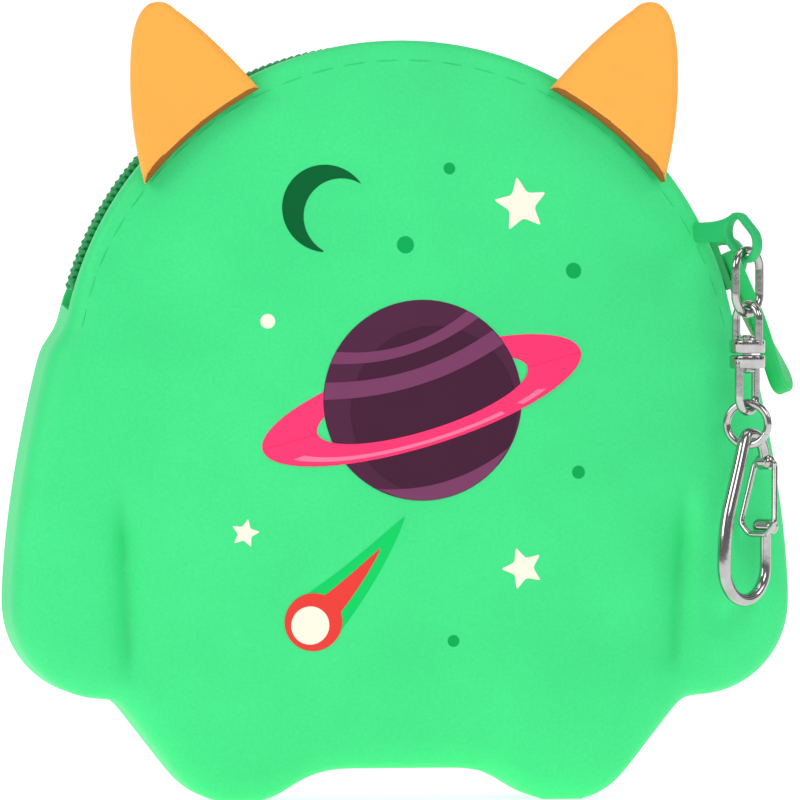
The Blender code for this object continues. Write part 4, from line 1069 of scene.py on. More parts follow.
@dataclass
class Zip:
    """Tapes, end patches, coil rows and the stitches that hold the zip.

    Angles are in degrees round the dome's centre, from the right, but turn_tilt is in radians.
    """

    form: PurseForm
    finishes: Finishes
    tape_start: float = 13.4
    tape_end: float = 166.6
    tape_rings: int = 180
    tape_r: float = 49.45 * MM
    tape_thickness: float = 0.5 * MM
    tape_edge_y: float = 1.0 * MM
    tape_flat_y: float = 2.2 * MM
    tape_leg_y: float = 4.7 * MM
    tape_leg: float = 4.4 * MM
    tape_bend: float = 0.6 * MM
    tape_bend_points: int = 7
    patch_drop: float = 0.35 * MM
    patch_thickness: float = 0.4 * MM
    patch_lap: float = 0.2 * MM
    patch_past: float = 0.6
    patch_sweep: float = 5.0
    patch_rings: int = 8
    coil_r: float = 50.75 * MM
    coil_proud: float = 1.1 * MM
    coil_rise_from: float = 84.0
    coil_rise_over: float = 50.0
    coil_row: float = 0.85 * MM
    coil_start: float = 18.4
    coil_end: float = 163.4
    coil_points: int = 400
    turns: int = 114
    turn_size: Point = (2.3 * MM, 1.75 * MM, 1.0 * MM)
    turn_tilt: float = 0.5
    stitch_inset: float = 3.0 * MM
    stitch_end_inset: float = 2.1 * MM
    stitch_start: float = 11.5
    stitch_fade: float = 40.0
    stitch_points: int = 500
    stitch_count: int = 28
    stitch_size: Point = (0.22 * MM, 0.2 * MM, 3.5 * MM)

    def sweep(self, section: Sequence[Flat], angles: np.ndarray) -> list[np.ndarray]:
        """Rings of a section carried round the dome.

        Args:
            section: Its points as (distance from the middle plane, distance from the dome's centre).
            angles: Where the rings lie.

        Returns:
            Rings of world points.
        """
        return [np.array([self.form.dome_point(r, degrees, y) for y, r in section]) for degrees in angles]

    def tape(self, side: Side) -> bpy.types.Object:
        """One tape, flat on top and turned down along the wall.

        Args:
            side: Front or rear tape.

        Returns:
            The piece.
        """
        half = self.tape_thickness / 2
        corner_y, corner_r = self.tape_leg_y - self.tape_bend, self.tape_r - self.tape_bend
        corner = [
            (corner_y + self.tape_bend * math.sin(a), corner_r + self.tape_bend * math.cos(a))
            for a in np.linspace(0.0, math.pi / 2, self.tape_bend_points)
        ]
        top = [(self.tape_edge_y, self.tape_r), (self.tape_flat_y, self.tape_r)]
        middle = np.array([*top, *corner, (self.tape_leg_y, self.tape_r - self.tape_leg)])
        ahead = np.gradient(middle, axis=0)
        ahead /= np.linalg.norm(ahead, axis=1)[:, None]
        normal = np.stack([-ahead[:, 1], ahead[:, 0]], axis=1)
        section = np.vstack([middle + normal * half, (middle - normal * half)[::-1]])
        section = section * np.array([side.value, 1.0])
        rings = self.sweep(section, np.linspace(self.tape_start, self.tape_end, self.tape_rings))
        verts, faces = loft(rings)
        last = len(verts) - len(section)
        faces.append(tuple(range(len(section))))
        faces.append(tuple(range(last, len(verts))))
        piece = make_object(f"{side.name.lower()}_tape", (verts, faces), self.finishes.tape)
        return piece

    def end_patches(self) -> None:
        """Woven patches under the tapes, which close the slot at both ends of the zip."""
        high = self.tape_r - self.patch_drop
        low = high - self.patch_thickness
        half = self.form.slot_half + self.patch_lap
        section = ((-half, low), (half, low), (half, high), (-half, high))
        right = self.form.slot_end - self.patch_past
        left = 180.0 - self.form.slot_end + self.patch_past - self.patch_sweep
        shapes = []
        for first in (right, left):
            angles = np.linspace(first, first + self.patch_sweep, self.patch_rings)
            shapes.append(loft(self.sweep(section, angles), caps=True))
        patches = make_object("zip_end_patches", joined(shapes), self.finishes.tape)
        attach(patches, "pouch")

    def coil(self, side: Side) -> bpy.types.Object:
        """One row of the coil, its turns leaning into the other row's.

        Args:
            side: Front or rear row.

        Returns:
            The piece.
        """
        name = f"{side.name.lower()}_coil"
        pitch = (self.coil_end - self.coil_start) / self.turns
        shift = 0.0 if side is Side.FRONT else pitch / 2
        angles = np.linspace(self.coil_start + shift, self.coil_end - pitch / 2 + shift, self.coil_points)
        rise = smooth_step((angles - self.coil_rise_from) / self.coil_rise_over)
        radii = self.coil_r + self.coil_proud * rise
        y = side.value * self.coil_row
        line = np.array([self.form.dome_point(r, a, y) for r, a in zip(radii, angles)])
        tilt = self.turn_tilt * side.value
        tree = BeadTree(f"{name}_turns", self.turns, self.turn_size, tilt, self.finishes.coil)
        coil = tree.make(name, line)
        return coil

    def stitches(self, side: Side) -> bpy.types.Object:
        """The row of stitches inside the rim.

        Args:
            side: Front or rear row.

        Returns:
            The piece.
        """
        form = self.form
        name = f"{side.name.lower()}_stitches"
        theta = np.radians(np.linspace(self.stitch_start, 180.0 - self.stitch_start, self.stitch_points))
        high = smooth_step((form.folded(theta) - self.stitch_start) / self.stitch_fade)
        rim = form.reach_at(theta, form.reach - form.rim_drop(side))
        radius = rim - self.stitch_end_inset - (self.stitch_inset - self.stitch_end_inset) * high
        x = radius * np.cos(theta)
        z = form.dome_z + radius * np.sin(theta)
        line = np.stack([form.mid_x + x, form.skin_y(x, z, side), z], axis=1)
        # The thread's slightly darker green is painted shade.
        tree = BeadTree(f"{name}_beads", self.stitch_count, self.stitch_size, 0.0, self.finishes.thread)
        stitches = tree.make(name, line)
        return stitches

    def build(self) -> None:
        """Build both halves of the zip: the rear half rides on the pouch, the front half has its transforms
        baked.
        """
        self.end_patches()
        for side in Side:
            half = side.name.lower()
            tape = self.tape(side)
            coil = self.coil(side)
            stitches = self.stitches(side)
            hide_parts(f"{half}_zip_tape")
            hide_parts(f"{half}_zip_coil")
            for piece in (tape, coil, stitches):
                if side is Side.FRONT:
                    bend_with_mouth(piece)
                else:
                    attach(piece, "pouch")
            LOG.info("%s half of the zip", half)


def plate(
    name: str, outlines: Sequence[np.ndarray], thickness: float, fillet: float, material: bpy.types.Material
) -> bpy.types.Object:
    """Flat plate in its own x and y with rounded edges, centred on z = 0.

    Args:
        name: Name of the piece.
        outlines: Outer outline, then its holes.
        thickness: Full thickness.
        fillet: Radius of its edges.
        material: Its finish.

    Returns:
        The piece as a mesh object.
    """
    data = bpy.data.curves.new(name, "CURVE")
    data.dimensions = "2D"
    data.fill_mode = "BOTH"
    data.extrude = thickness / 2 - fillet
    data.bevel_depth = fillet
    data.bevel_resolution = 4
    data.offset = -fillet
    for outline in outlines:
        spline = data.splines.new("POLY")
        spline.points.add(len(outline) - 1)
        for target, point in zip(spline.points, outline):
            target.co = (point[0], point[1], 0.0, 1.0)
        spline.use_cyclic_u = True
    mesh = taken_mesh(link_object(name, data), name)
    tidy_mesh(mesh)
    mesh.materials.clear()
    mesh.materials.append(material)
    return link_object(name, mesh)


def slice_mesh(mesh: bpy.types.Mesh, axis: int, places: Sequence[float]) -> None:
    """Cut a mesh into strips across an axis, so that it can bend.

    Args:
        mesh: Mesh to cut in place.
        axis: 0, 1 or 2 for x, y or z.
        places: Where to cut.
    """
    bm = bmesh.new()
    bm.from_mesh(mesh)
    along = Vector(np.eye(3)[axis])
    for place in places:
        geometry = bm.verts[:] + bm.edges[:] + bm.faces[:]
        bmesh.ops.bisect_plane(bm, geom=geometry, dist=MERGE_DISTANCE, plane_co=along * place, plane_no=along)
    bm.to_mesh(mesh)
    bm.free()


@dataclass
class Horns:
    """Two soft horn plates lapped on the front rim, each with a dark lower edge that is painted shade.

    Places are (x, z) of the right horn about the purse's middle, and angles are in degrees round the
    dome's centre. Points of the edge's section are (out from the base, behind the plate's face).
    """

    form: PurseForm
    finishes: Finishes
    base_r: float = 50.0 * MM
    upper: float = 63.4
    lower: float = 37.4
    outer: Flat = (41.9 * MM, 110.5 * MM)
    outer_control_x: float = 42.0 * MM
    tip: Flat = (37.6 * MM, 121.2 * MM)
    tip_round: float = 2.6 * MM
    inner_control: Flat = (29.7 * MM, 116.4 * MM)
    thickness: float = 2.6 * MM
    fillet: float = 0.75 * MM
    strips: tuple[int, int] = (13, 17)
    crown: float = 0.35 * MM
    crown_reach: float = 12.0 * MM
    face_margin: float = 0.01 * MM
    edge_front: tuple[Flat, ...] = (
        (-0.15 * MM, 0.5 * MM), (0.3 * MM, -0.02 * MM), (0.85 * MM, -0.08 * MM), (0.95 * MM, 0.3 * MM),
    )
    edge_back: tuple[Flat, ...] = ((0.5 * MM, -0.4 * MM), (-0.15 * MM, -0.2 * MM))
    edge_trim: float = 0.15
    edge_taper: float = 3.0
    edge_rings: int = 40

    def outline(self) -> np.ndarray:
        """Outline of the right horn about the purse's middle."""
        base = arc((0.0, self.form.dome_z), self.base_r, self.upper, self.lower, count=40)
        corner = arc((0.0, self.form.dome_z), self.base_r, self.lower, self.lower, count=1)[0]
        inner_tip = (self.tip[0] - self.tip_round, self.tip[1] - self.tip_round / 2)
        side_control = (self.outer_control_x, (corner[1] + self.outer[1]) / 2)
        side = bend(tuple(corner), side_control, self.outer, count=20)
        rise = bend(self.outer, (self.outer[0], self.tip[1]), self.tip, count=20)
        top = bend(self.tip, ((self.tip[0] + inner_tip[0]) / 2, self.tip[1]), inner_tip, count=6)
        fall = bend(inner_tip, self.inner_control, tuple(base[0]), count=24)
        return np.vstack([base, side, rise, top, fall])

    def build_horn(self, hand: Hand) -> None:
        """One horn, crowned a little and stood against the front rim.

        Args:
            hand: Which horn.
        """
        node = f"{hand.name.lower()}_horn"
        points = self.outline() * np.array([hand.value, 1.0])
        horn = plate(f"{node}_plate", [points], self.thickness, self.fillet, self.finishes.horn)
        for axis, strips in enumerate(self.strips):
            edges = np.linspace(points[:, axis].min(), points[:, axis].max(), strips + 1)
            slice_mesh(horn.data, axis, edges[1:-1])
        middle = points.mean(axis=0)
        for vert in horn.data.vertices:
            away = math.hypot(vert.co.x - middle[0], vert.co.y - middle[1]) / self.crown_reach
            if vert.co.z > self.thickness / 2 - self.face_margin:
                vert.co.z += self.crown * max(0.0, 1.0 - away * away)
        low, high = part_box(node)
        place = Matrix.Translation((self.form.mid_x, (low[1] + high[1]) / 2, 0.0))
        horn.data.transform(place @ Matrix.Rotation(math.pi / 2, 4, "X"))
        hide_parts(node)
        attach(horn, "front_flap")
        self.base_edge(hand, low[1], high[1])

    def base_edge(self, hand: Hand, front_y: float, back_y: float) -> None:
        """Lower edge of a horn, a bevelled strip along its curved base, coloured dark brown as painted shade.

        Args:
            hand: Which horn.
            front_y: Y of the plate's front.
            back_y: Y of its back.
        """
        section = [(out, front_y + behind) for out, behind in self.edge_front]
        section += [(out, back_y + behind) for out, behind in self.edge_back]
        rings = []
        for degrees in np.linspace(self.lower + self.edge_trim, self.upper - self.edge_trim, self.edge_rings):
            angle = math.radians(degrees)
            x, z = math.cos(angle) * hand.value, math.sin(angle)
            from_end = min(degrees - self.lower, self.upper - degrees)
            width = math.sqrt(min(from_end / self.edge_taper, 1.0))
            spots = [(self.base_r + out * width, y) for out, y in section]
            rings.append(np.array([(self.form.mid_x + r * x, y, self.form.dome_z + r * z) for r, y in spots]))
        name = f"{hand.name.lower()}_horn_edge"
        edge = make_object(name, loft(rings, caps=True), self.finishes.horn_edge_painted_shade)
        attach(edge, "front_flap")

    def build(self) -> None:
        """Both horns."""
        for hand in Hand:
            self.build_horn(hand)
        LOG.info("horns")


def inside(points: np.ndarray, outline: np.ndarray) -> np.ndarray:
    """Whether each point lies inside a closed outline.

    Args:
        points: Points to test.
        outline: Corners of the outline.

    Returns:
        True for each point inside.
    """
    found = np.zeros(len(points), bool)
    x, z = points[:, 0], points[:, 1]
    for (x0, z0), (x1, z1) in zip(outline, np.roll(outline, -1, axis=0)):
        crosses = (z0 > z) != (z1 > z)
        at = x0 + (z - z0) * (x1 - x0) / (z1 - z0 if z1 != z0 else 1.0)
        found ^= crosses & (x < at)
    return found


@dataclass(frozen=True)
class Star:
    """A pointed star with softened corners."""

    place: Flat
    reach: float
    turn: float
    tips: int = 5
    waist: float = 0.46
    points: int = 90
    softened: int = 3

    def outline(self) -> np.ndarray:
        """Points round the star."""
        corners = []
        for index in range(2 * self.tips):
            radius = self.reach if index % 2 == 0 else self.reach * self.waist
            angle = math.radians(90.0 + 180.0 / self.tips * index)
            corners.append((radius * math.cos(angle), radius * math.sin(angle)))
        points = resample(np.array(corners), self.points, closed=True)
        for _ in range(self.softened):
            points = 0.25 * np.roll(points, 1, axis=0) + 0.5 * points + 0.25 * np.roll(points, -1, axis=0)
        return turned(points, self.turn, self.place)


@dataclass(frozen=True)
class Disc:
    """A round spot."""

    place: Flat
    radius: float
    points: int = 72

    def outline(self) -> np.ndarray:
        """Points round the disc."""
        return arc((0.0, 0.0), self.radius, 0.0, 360.0, self.points) + np.array(self.place)


@dataclass(frozen=True)
class Tail:
    """A comet's tail, which swings aside towards its end."""

    half_width: float
    length: float
    swing: float
    taper: float = 0.8
    points: int = 40

    def outline(self) -> np.ndarray:
        """Points round the tail, which runs from the origin towards -X."""
        along = np.linspace(0.0, 1.0, self.points)
        half = self.half_width * (1.0 - along) ** self.taper
        bow = self.swing * along**2
        upper = np.stack([-self.length * along, bow + half], axis=1)
        lower = np.stack([-self.length * along, bow - half], axis=1)[::-1]
        return np.vstack([upper[:-1], lower])


# What delaunay_2d_cdt is asked for: triangles inside the outline, and points closer than this as one.
INSIDE_ONLY = 1
SAME_SPOT = 1e-5


@dataclass
class Print:
    """Printed night-sky picture on the front: a ringed planet, a crescent, a comet and stars.

    Places are (x, z) about the purse's middle, angles are in degrees, and shares are of a radius.
    """

    form: PurseForm
    finishes: Finishes
    pitch: float = 1.1 * MM
    edge_gap: float = 0.4
    layer: float = 0.03 * MM
    sink: float = 0.12 * MM
    planet: Disc = Disc((2.0 * MM, 61.0 * MM), 15.2 * MM)
    shade_shift: Flat = (1.7 * MM, -1.5 * MM)
    shade_share: float = 0.84
    bands: tuple[Flat, ...] = ((0.3, 0.46), (0.62, 0.72), (-0.86, -0.7))
    band_bow: float = 0.14
    band_end: float = 0.995
    band_limit: float = 0.99
    band_points: int = 40
    ring_reach: float = 25.5 * MM
    ring_squash: float = 0.27
    ring_tilt: float = 17.0
    ring_shares: Flat = (0.66, 1.0)
    ring_back: Flat = (-8.0, 188.0)
    ring_front: Flat = (180.0, 360.0)
    gloss_shares: Flat = (0.86, 0.93)
    gloss: tuple[Flat, ...] = ((205.0, 300.0), (308.0, 322.0))
    crescent: Disc = Disc((-12.5 * MM, 90.0 * MM), 6.6 * MM)
    crescent_turn: float = -28.0
    crescent_half: float = 118.0
    bite_half: float = 87.0
    bite_shift: float = 0.42
    bite_share: float = 0.884
    comet: Disc = Disc((-14.5 * MM, 27.5 * MM), 4.4 * MM)
    comet_turn: float = 222.0
    comet_core: Disc = Disc((-15.0 * MM, 27.0 * MM), 2.9 * MM)
    outer_tail: Tail = Tail(4.2 * MM, 21.0 * MM, -2.6 * MM)
    inner_tail: Tail = Tail(2.3 * MM, 15.0 * MM, -1.5 * MM)
    cream_spots: tuple[Star | Disc, ...] = (
        Star((17.5 * MM, 90.5 * MM), 4.4 * MM, 8.0),
        Star((-25.0 * MM, 41.0 * MM), 2.3 * MM, -12.0),
        Star((17.5 * MM, 35.5 * MM), 3.4 * MM, 20.0),
        Disc((-21.5 * MM, 73.0 * MM), 1.1 * MM),
    )
    dots: tuple[Disc, ...] = (
        Disc((6.5 * MM, 96.0 * MM), 0.9 * MM, 28),
        Disc((25.5 * MM, 80.5 * MM), 1.2 * MM, 28),
        Disc((26.0 * MM, 50.0 * MM), 1.0 * MM, 28),
        Disc((-0.5 * MM, 84.5 * MM), 1.3 * MM, 28),
        Disc((7.0 * MM, 24.5 * MM), 0.9 * MM, 28),
    )

    def flat_mesh(self, outline: np.ndarray, level: int) -> Shape:
        """Closed thin sheet that follows the front skin.

        Args:
            outline: Its outline about the purse's middle.
            level: Which layer of ink it is, from 1.

        Returns:
            Points and faces.
        """
        low, high = outline.min(axis=0), outline.max(axis=0)
        columns = np.arange(low[0] + self.pitch / 2, high[0], self.pitch)
        rows = np.arange(low[1] + self.pitch / 2, high[1], self.pitch)
        grid = np.array([(x, z) for x in columns for z in rows]).reshape(-1, 2)
        if len(grid):
            gap = np.sqrt(((grid[:, None, :] - outline[None, :, :]) ** 2).sum(axis=2)).min(axis=1)
            grid = grid[inside(grid, outline) & (gap > self.edge_gap * self.pitch)]
        count = len(outline)
        spots = [Vector(p) / MM for p in np.vstack([outline, grid])]
        edges = [(i, (i + 1) % count) for i in range(count)]
        found = delaunay_2d_cdt(spots, edges, [], INSIDE_ONLY, SAME_SPOT)
        flat = np.array([tuple(p) for p in found[0]]) * MM
        triangles = [tuple(face) for face in found[2]]
        y = self.form.skin_y(flat[:, 0], flat[:, 1])
        top = np.stack([self.form.mid_x + flat[:, 0], y - self.layer * level, flat[:, 1]], axis=1)
        base = np.stack([self.form.mid_x + flat[:, 0], y + self.sink, flat[:, 1]], axis=1)
        size = len(flat)
        faces = triangles + [tuple(size + i for i in reversed(face)) for face in triangles]
        sides = [(a, b) for face in triangles for a, b in zip(face, face[1:] + face[:1])]
        known = set(sides)
        faces += [(b, a, size + a, size + b) for a, b in sides if (b, a) not in known]
        return np.vstack([top, base]), faces

    def ink(self, name: str, colour: Ink, shapes: Sequence[tuple[np.ndarray, int]]) -> None:
        """One piece of one ink.

        Args:
            name: Name of the piece.
            colour: Which ink.
            shapes: Outlines, each with its layer.
        """
        shape = joined([self.flat_mesh(outline, level) for outline, level in shapes])
        piece = make_object(name, shape, self.finishes.ink(colour))
        bend_with_mouth(piece)

    def ring_part(self, shares: Flat, stretch: Flat) -> np.ndarray:
        """Outline of a stretch of the planet's ring.

        Args:
            shares: Its inner and outer edge, as shares of the ring's reach.
            stretch: First and last angle round the ring.

        Returns:
            Points of the outline.
        """
        start, end = stretch
        far = arc((0.0, 0.0), self.ring_reach * shares[1], start, end, count=90)
        near = arc((0.0, 0.0), self.ring_reach * shares[0], end, start, count=90)
        points = np.vstack([far, near]) * np.array([1.0, self.ring_squash])
        return turned(points, self.ring_tilt, self.planet.place)

    def planet_band(self, edges: Flat) -> np.ndarray:
        """Outline of a cloud band across the planet, bowed along its ring.

        Args:
            edges: Heights of its lower and upper edge, as shares of the planet's radius.

        Returns:
            Points of the outline.
        """
        rows = []
        for share, order in zip(edges, (1, -1)):
            reach = math.sqrt(1.0 - share * share) * self.band_end
            x = np.linspace(-reach, reach, self.band_points)[::order]
            bow = share - self.band_bow * (1.0 - (x / reach) ** 2)
            limit = np.sqrt(np.maximum(self.band_limit - x * x, 0.0))
            rows.append(np.stack([x, np.clip(bow, -limit, limit)], axis=1))
        return turned(np.vstack(rows) * self.planet.radius, self.ring_tilt, self.planet.place)

    def crescent_outline(self) -> np.ndarray:
        """Outline of the crescent: a round edge, and the edge of the disc that bites it."""
        radius = self.crescent.radius
        bite = (self.bite_shift * radius, 0.0)
        outer = arc((0.0, 0.0), radius, 180.0 - self.crescent_half, 180.0 + self.crescent_half, count=60)
        inner = arc(bite, self.bite_share * radius, 180.0 + self.bite_half, 180.0 - self.bite_half, count=50)
        return turned(np.vstack([outer, inner]), self.crescent_turn, self.crescent.place)

    def build(self) -> None:
        """Every ink of the picture, from the lowest layer up."""
        shade_x = self.planet.place[0] + self.shade_shift[0]
        shade_z = self.planet.place[1] + self.shade_shift[1]
        shade = Disc((shade_x, shade_z), self.planet.radius * self.shade_share)
        gloss = [(self.ring_part(self.gloss_shares, stretch), 6) for stretch in self.gloss]
        outer = turned(self.outer_tail.outline(), self.comet_turn, self.comet.place)
        inner = turned(self.inner_tail.outline(), self.comet_turn, self.comet.place)
        cream = [(spot.outline(), 1) for spot in self.cream_spots]
        self.ink("print_ring_back", Ink.HOT_PINK, [(self.ring_part(self.ring_shares, self.ring_back), 1)])
        self.ink("print_planet", Ink.AUBERGINE, [(self.planet.outline(), 2)])
        self.ink("print_planet_shade", Ink.DARK_AUBERGINE, [(shade.outline(), 3)])
        self.ink("print_planet_bands", Ink.PLUM, [(self.planet_band(edges), 4) for edges in self.bands])
        self.ink("print_ring_front", Ink.HOT_PINK, [(self.ring_part(self.ring_shares, self.ring_front), 5)])
        self.ink("print_ring_gloss", Ink.LIGHT_PINK, gloss)
        self.ink("print_crescent", Ink.BOTTLE_GREEN, [(self.crescent_outline(), 1)])
        self.ink("print_comet_tail", Ink.LEAF_GREEN, [(outer, 1)])
        self.ink("print_comet", Ink.COMET_RED, [(inner, 2), (self.comet.outline(), 3)])
        self.ink("print_cream", Ink.CREAM, [(self.comet_core.outline(), 4)] + cream)
        self.ink("print_dots", Ink.MID_GREEN, [(dot.outline(), 1) for dot in self.dots])
        LOG.info("printed picture")


@dataclass
class StrapAndTab:
    """The pull strap on the slider and the moulded key tab on the rim.

    The strap is drawn along x from its pivot, and the tab along x from its root in the wall.
    """

    form: PurseForm
    finishes: Finishes
    pivot: Point
    eye: Point
    fillet: float = 0.6 * MM
    length: float = 22.4 * MM
    half_width: float = 3.2 * MM
    thickness: float = 2.5 * MM
    web: float = 2.0 * MM
    eye_half: float = 1.7 * MM
    eye_length: float = 6.6 * MM
    cuts: int = 24
    end_margin: float = 0.5 * MM
    twist: float = 24.0
    lean: float = 23.5
    tab_out: float = 6.0 * MM
    tab_forward: float = 11.3 * MM
    tab_root_rise: float = 1.6 * MM
    tab_half_height: float = 1.5 * MM
    tab_slot: float = 3.0 * MM
    tab_slot_lean: float = 38.0
    tab_outer: float = 2.9 * MM
    tab_eye_radius: float = 1.9 * MM
    tab_thickness: float = 1.8 * MM
    neck_high_from: float = 110.0
    neck_low_from: float = 215.0
    neck_high_back: float = 3.0 * MM
    neck_low_back: float = 3.6 * MM

    def strap(self) -> None:
        """Soft strap with rounded edges, twisted towards its end."""
        bottom = self.web / 2
        end = arc((self.length - self.half_width, 0.0), self.half_width, -90.0, 90.0, count=24)
        head = arc((self.half_width - bottom, 0.0), self.half_width, 90.0, 270.0, count=24)
        low = bottom + self.eye_half
        high = bottom + self.eye_length - self.eye_half
        far = arc((high, 0.0), self.eye_half, -90.0, 90.0, count=12)
        near = arc((low, 0.0), self.eye_half, 90.0, 270.0, count=12)
        outlines = [np.vstack([end, head]), np.vstack([far, near])]
        strap = plate("pull_strap_soft", outlines, self.thickness, self.fillet, self.finishes.strap)
        start = self.web + self.eye_length
        slice_mesh(strap.data, 0, np.linspace(start, self.length - self.end_margin, self.cuts))
        for vert in strap.data.vertices:
            share = (vert.co.x - start) / (self.length - start)
            turn = math.radians(self.twist) * float(smooth_step(share))
            vert.co = Matrix.Rotation(turn, 3, "X") @ vert.co
        angle = math.radians(self.lean)
        down = Vector((math.sin(angle), 0.0, -math.cos(angle)))
        out = Vector((math.cos(angle), 0.0, math.sin(angle)))
        rotation = Matrix((down, out.cross(down), out)).transposed().to_4x4()
        strap.data.transform(Matrix.Translation(self.pivot) @ rotation)
        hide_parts("pull_tab")
        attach(strap, "pull_strap")

    def tab(self) -> None:
        """Moulded tab with the chain's eye, rooted in the front wall."""
        run = Vector((self.tab_out, -self.tab_forward, 0.0))
        length = run.length
        lean = math.radians(self.tab_slot_lean)
        back = (length - self.tab_slot * math.cos(lean), self.tab_slot * math.sin(lean))
        root_low = (0.0, self.tab_root_rise - self.tab_half_height)
        root_high = (0.0, self.tab_root_rise + self.tab_half_height)
        down = -self.tab_slot_lean
        head = arc((length, 0.0), self.tab_outer, down - 90.0, down + 90.0, count=30)
        upper = arc(back, self.tab_outer, down + 90.0, self.neck_high_from, count=12)
        lower = arc(back, self.tab_outer, self.neck_low_from, down + 270.0, count=12)
        neck_high = bend(tuple(upper[-1]), (back[0] - self.neck_high_back, root_high[1]), root_high, count=10)
        neck_low = bend(root_low, (back[0] - self.neck_low_back, root_low[1]), tuple(lower[0]), count=10)
        outline = np.vstack([head, upper, neck_high, [root_high], neck_low, lower])
        far = arc((length, 0.0), self.tab_eye_radius, down - 90.0, down + 90.0, count=20)
        near = arc(back, self.tab_eye_radius, down + 90.0, down + 270.0, count=20)
        outlines = [outline, np.vstack([far, near])]
        # The tab's darker green finish is painted shade.
        tab = plate("key_tab", outlines, self.tab_thickness, self.fillet, self.finishes.tab)
        turn = Matrix.Rotation(math.atan2(run.y, run.x), 4, "Z") @ Matrix.Rotation(math.pi / 2, 4, "X")
        tab.data.transform(Matrix.Translation(Vector(self.eye) - run) @ turn)
        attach(tab, "pouch")

    def build(self) -> None:
        """Both soft pieces."""
        self.strap()
        self.tab()
        LOG.info("pull strap and key tab")


@dataclass
class Chain:
    """Oval link, swivel, jump ring and key clasp, hung from the key tab.

    A piece's line is drawn in (x, height) in its own plane, which is then turned about the vertical.
    Shares are of the clasp bow's radius across, and of the clasp's length down.
    """

    finishes: Finishes
    pivots: dict[str, Point]
    link_turn: float = 40.0
    link_width: float = 7.0 * MM
    link_height: float = 10.9 * MM
    link_wire: float = 0.65 * MM
    loop_width: float = 5.6 * MM
    loop_wire: float = 0.6 * MM
    loop_oval: float = 1.15
    step: float = 0.15 * MM
    upper_turn: float = -50.0
    lower_turn: float = 45.0
    collar_radius: float = 2.7 * MM
    collar_height: float = 2.0 * MM
    collar_fillet: float = 0.3 * MM
    clearance: float = 0.3 * MM
    rivet_radius: float = 0.65 * MM
    rivet_head: float = 1.2 * MM
    rivet_dome: float = 0.5 * MM
    rivet_flat: float = 0.25
    rivet_points: int = 6
    rivet_sides: int = 28
    axis_radius: float = 0.001 * MM
    ring_radius: float = 3.2 * MM
    ring_wire: float = 0.6 * MM
    ring_turn: float = -25.0
    ring_split_half: float = 1.5
    ring_split_at: float = 115.0
    ring_points: int = 120
    clasp_width: float = 12.3 * MM
    clasp_height: float = 27.2 * MM
    clasp_wire: float = 1.0 * MM
    clasp_turn: float = 42.0
    clasp_sides: int = 24
    clasp_points: int = 190
    clasp_rounds: int = 4
    end_wire: float = 0.84
    middle_wire: float = 0.2
    wire_reach: float = 1.1
    set_share: float = 0.117
    nose_share: float = 0.437
    pivot_shares: Flat = (0.854, 0.175)
    top_shares: Flat = (0.058, 0.0)
    neck_shares: Flat = (-0.3, 0.13)
    spine_shares: Flat = (-0.86, 0.4365)
    control_shares: tuple[Flat, ...] = ((0.777, 0.0), (-0.12, 0.0), (-0.56, 0.28), (-1.117, 0.5845))
    boss_radius: float = 1.25 * MM
    boss_half: float = 1.1 * MM
    head_half: float = 1.6 * MM
    pin_share: float = 0.92
    pin_end: float = 0.25 * MM
    pin_points: int = 6
    gate_wire: float = 0.45 * MM
    gate_drop: float = 1.1 * MM
    gate_spread: float = 0.85 * MM
    gate_toe: float = 0.5 * MM
    gate_sides: int = 14
    gate_points: int = 150
    gate_rounds: int = 8

    def place(self, points: np.ndarray, turn: float, at: Point) -> np.ndarray:
        """Points turned about the vertical and moved.

        Args:
            points: Points as (x, height) in a piece's plane, or as (x, y, height).
            turn: How far they are turned, in degrees.
            at: Where the origin goes.

        Returns:
            World points.
        """
        angle = math.radians(turn)
        x, z = points[:, 0], points[:, -1]
        y = points[:, 1] if points.shape[1] == 3 else 0.0 * x
        across = x * math.cos(angle) - y * math.sin(angle)
        deep = x * math.sin(angle) + y * math.cos(angle)
        return np.stack([across + at[0], deep + at[1], z + at[2]], axis=1)

    def plane_normal(self, turn: float) -> Point:
        """Normal of a piece's plane."""
        angle = math.radians(turn)
        return (-math.sin(angle), math.cos(angle), 0.0)

    def hang(self, name: str, shape: Shape, node: str, body: str) -> None:
        """Make a metal piece that stands for a node and rides on its body.

        Args:
            name: Name of the piece.
            shape: Its points and faces.
            node: Node that it stands for.
            body: Body that it rides on.
        """
        piece = make_object(name, shape, self.finishes.nickel)
        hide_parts(node)
        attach(piece, body)

    def link(self) -> None:
        """The oval link through the key tab's eye."""
        low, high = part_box("oval_link")
        centre = ((low[0] + high[0]) / 2, (low[1] + high[1]) / 2, (low[2] + high[2]) / 2)
        half = self.link_width / 2 - self.link_wire
        straight = (self.link_height - self.link_width) / 2
        top = arc((0.0, straight), half, 0.0, 180.0, count=40)
        bottom = arc((0.0, -straight), half, 180.0, 360.0, count=40)
        flat = resample(np.vstack([top, bottom]), count=110, closed=True)
        line = self.place(flat, self.link_turn, centre)
        shape = tube(line, self.link_wire, closed=True, flat_axis=self.plane_normal(self.link_turn))
        self.hang("chain_link", shape, "oval_link", "link")

    def collar_profile(self) -> list[Flat]:
        """Rounded section of a pierced collar, about the middle of its height."""
        inner = self.rivet_radius + self.clearance
        outer, tall, soft = self.collar_radius, self.collar_height / 2, self.collar_fillet
        corners = ((outer, tall, 0.0), (inner, tall, 90.0), (inner, -tall, 180.0), (outer, -tall, 270.0))
        profile: list[Flat] = []
        for radius, height, first in corners:
            inwards = math.copysign(soft, math.cos(math.radians(first + 45.0)))
            centre = (radius - inwards, height - math.copysign(soft, height))
            profile += [tuple(p) for p in arc(centre, soft, first, first + 90.0, count=5)]
        return profile

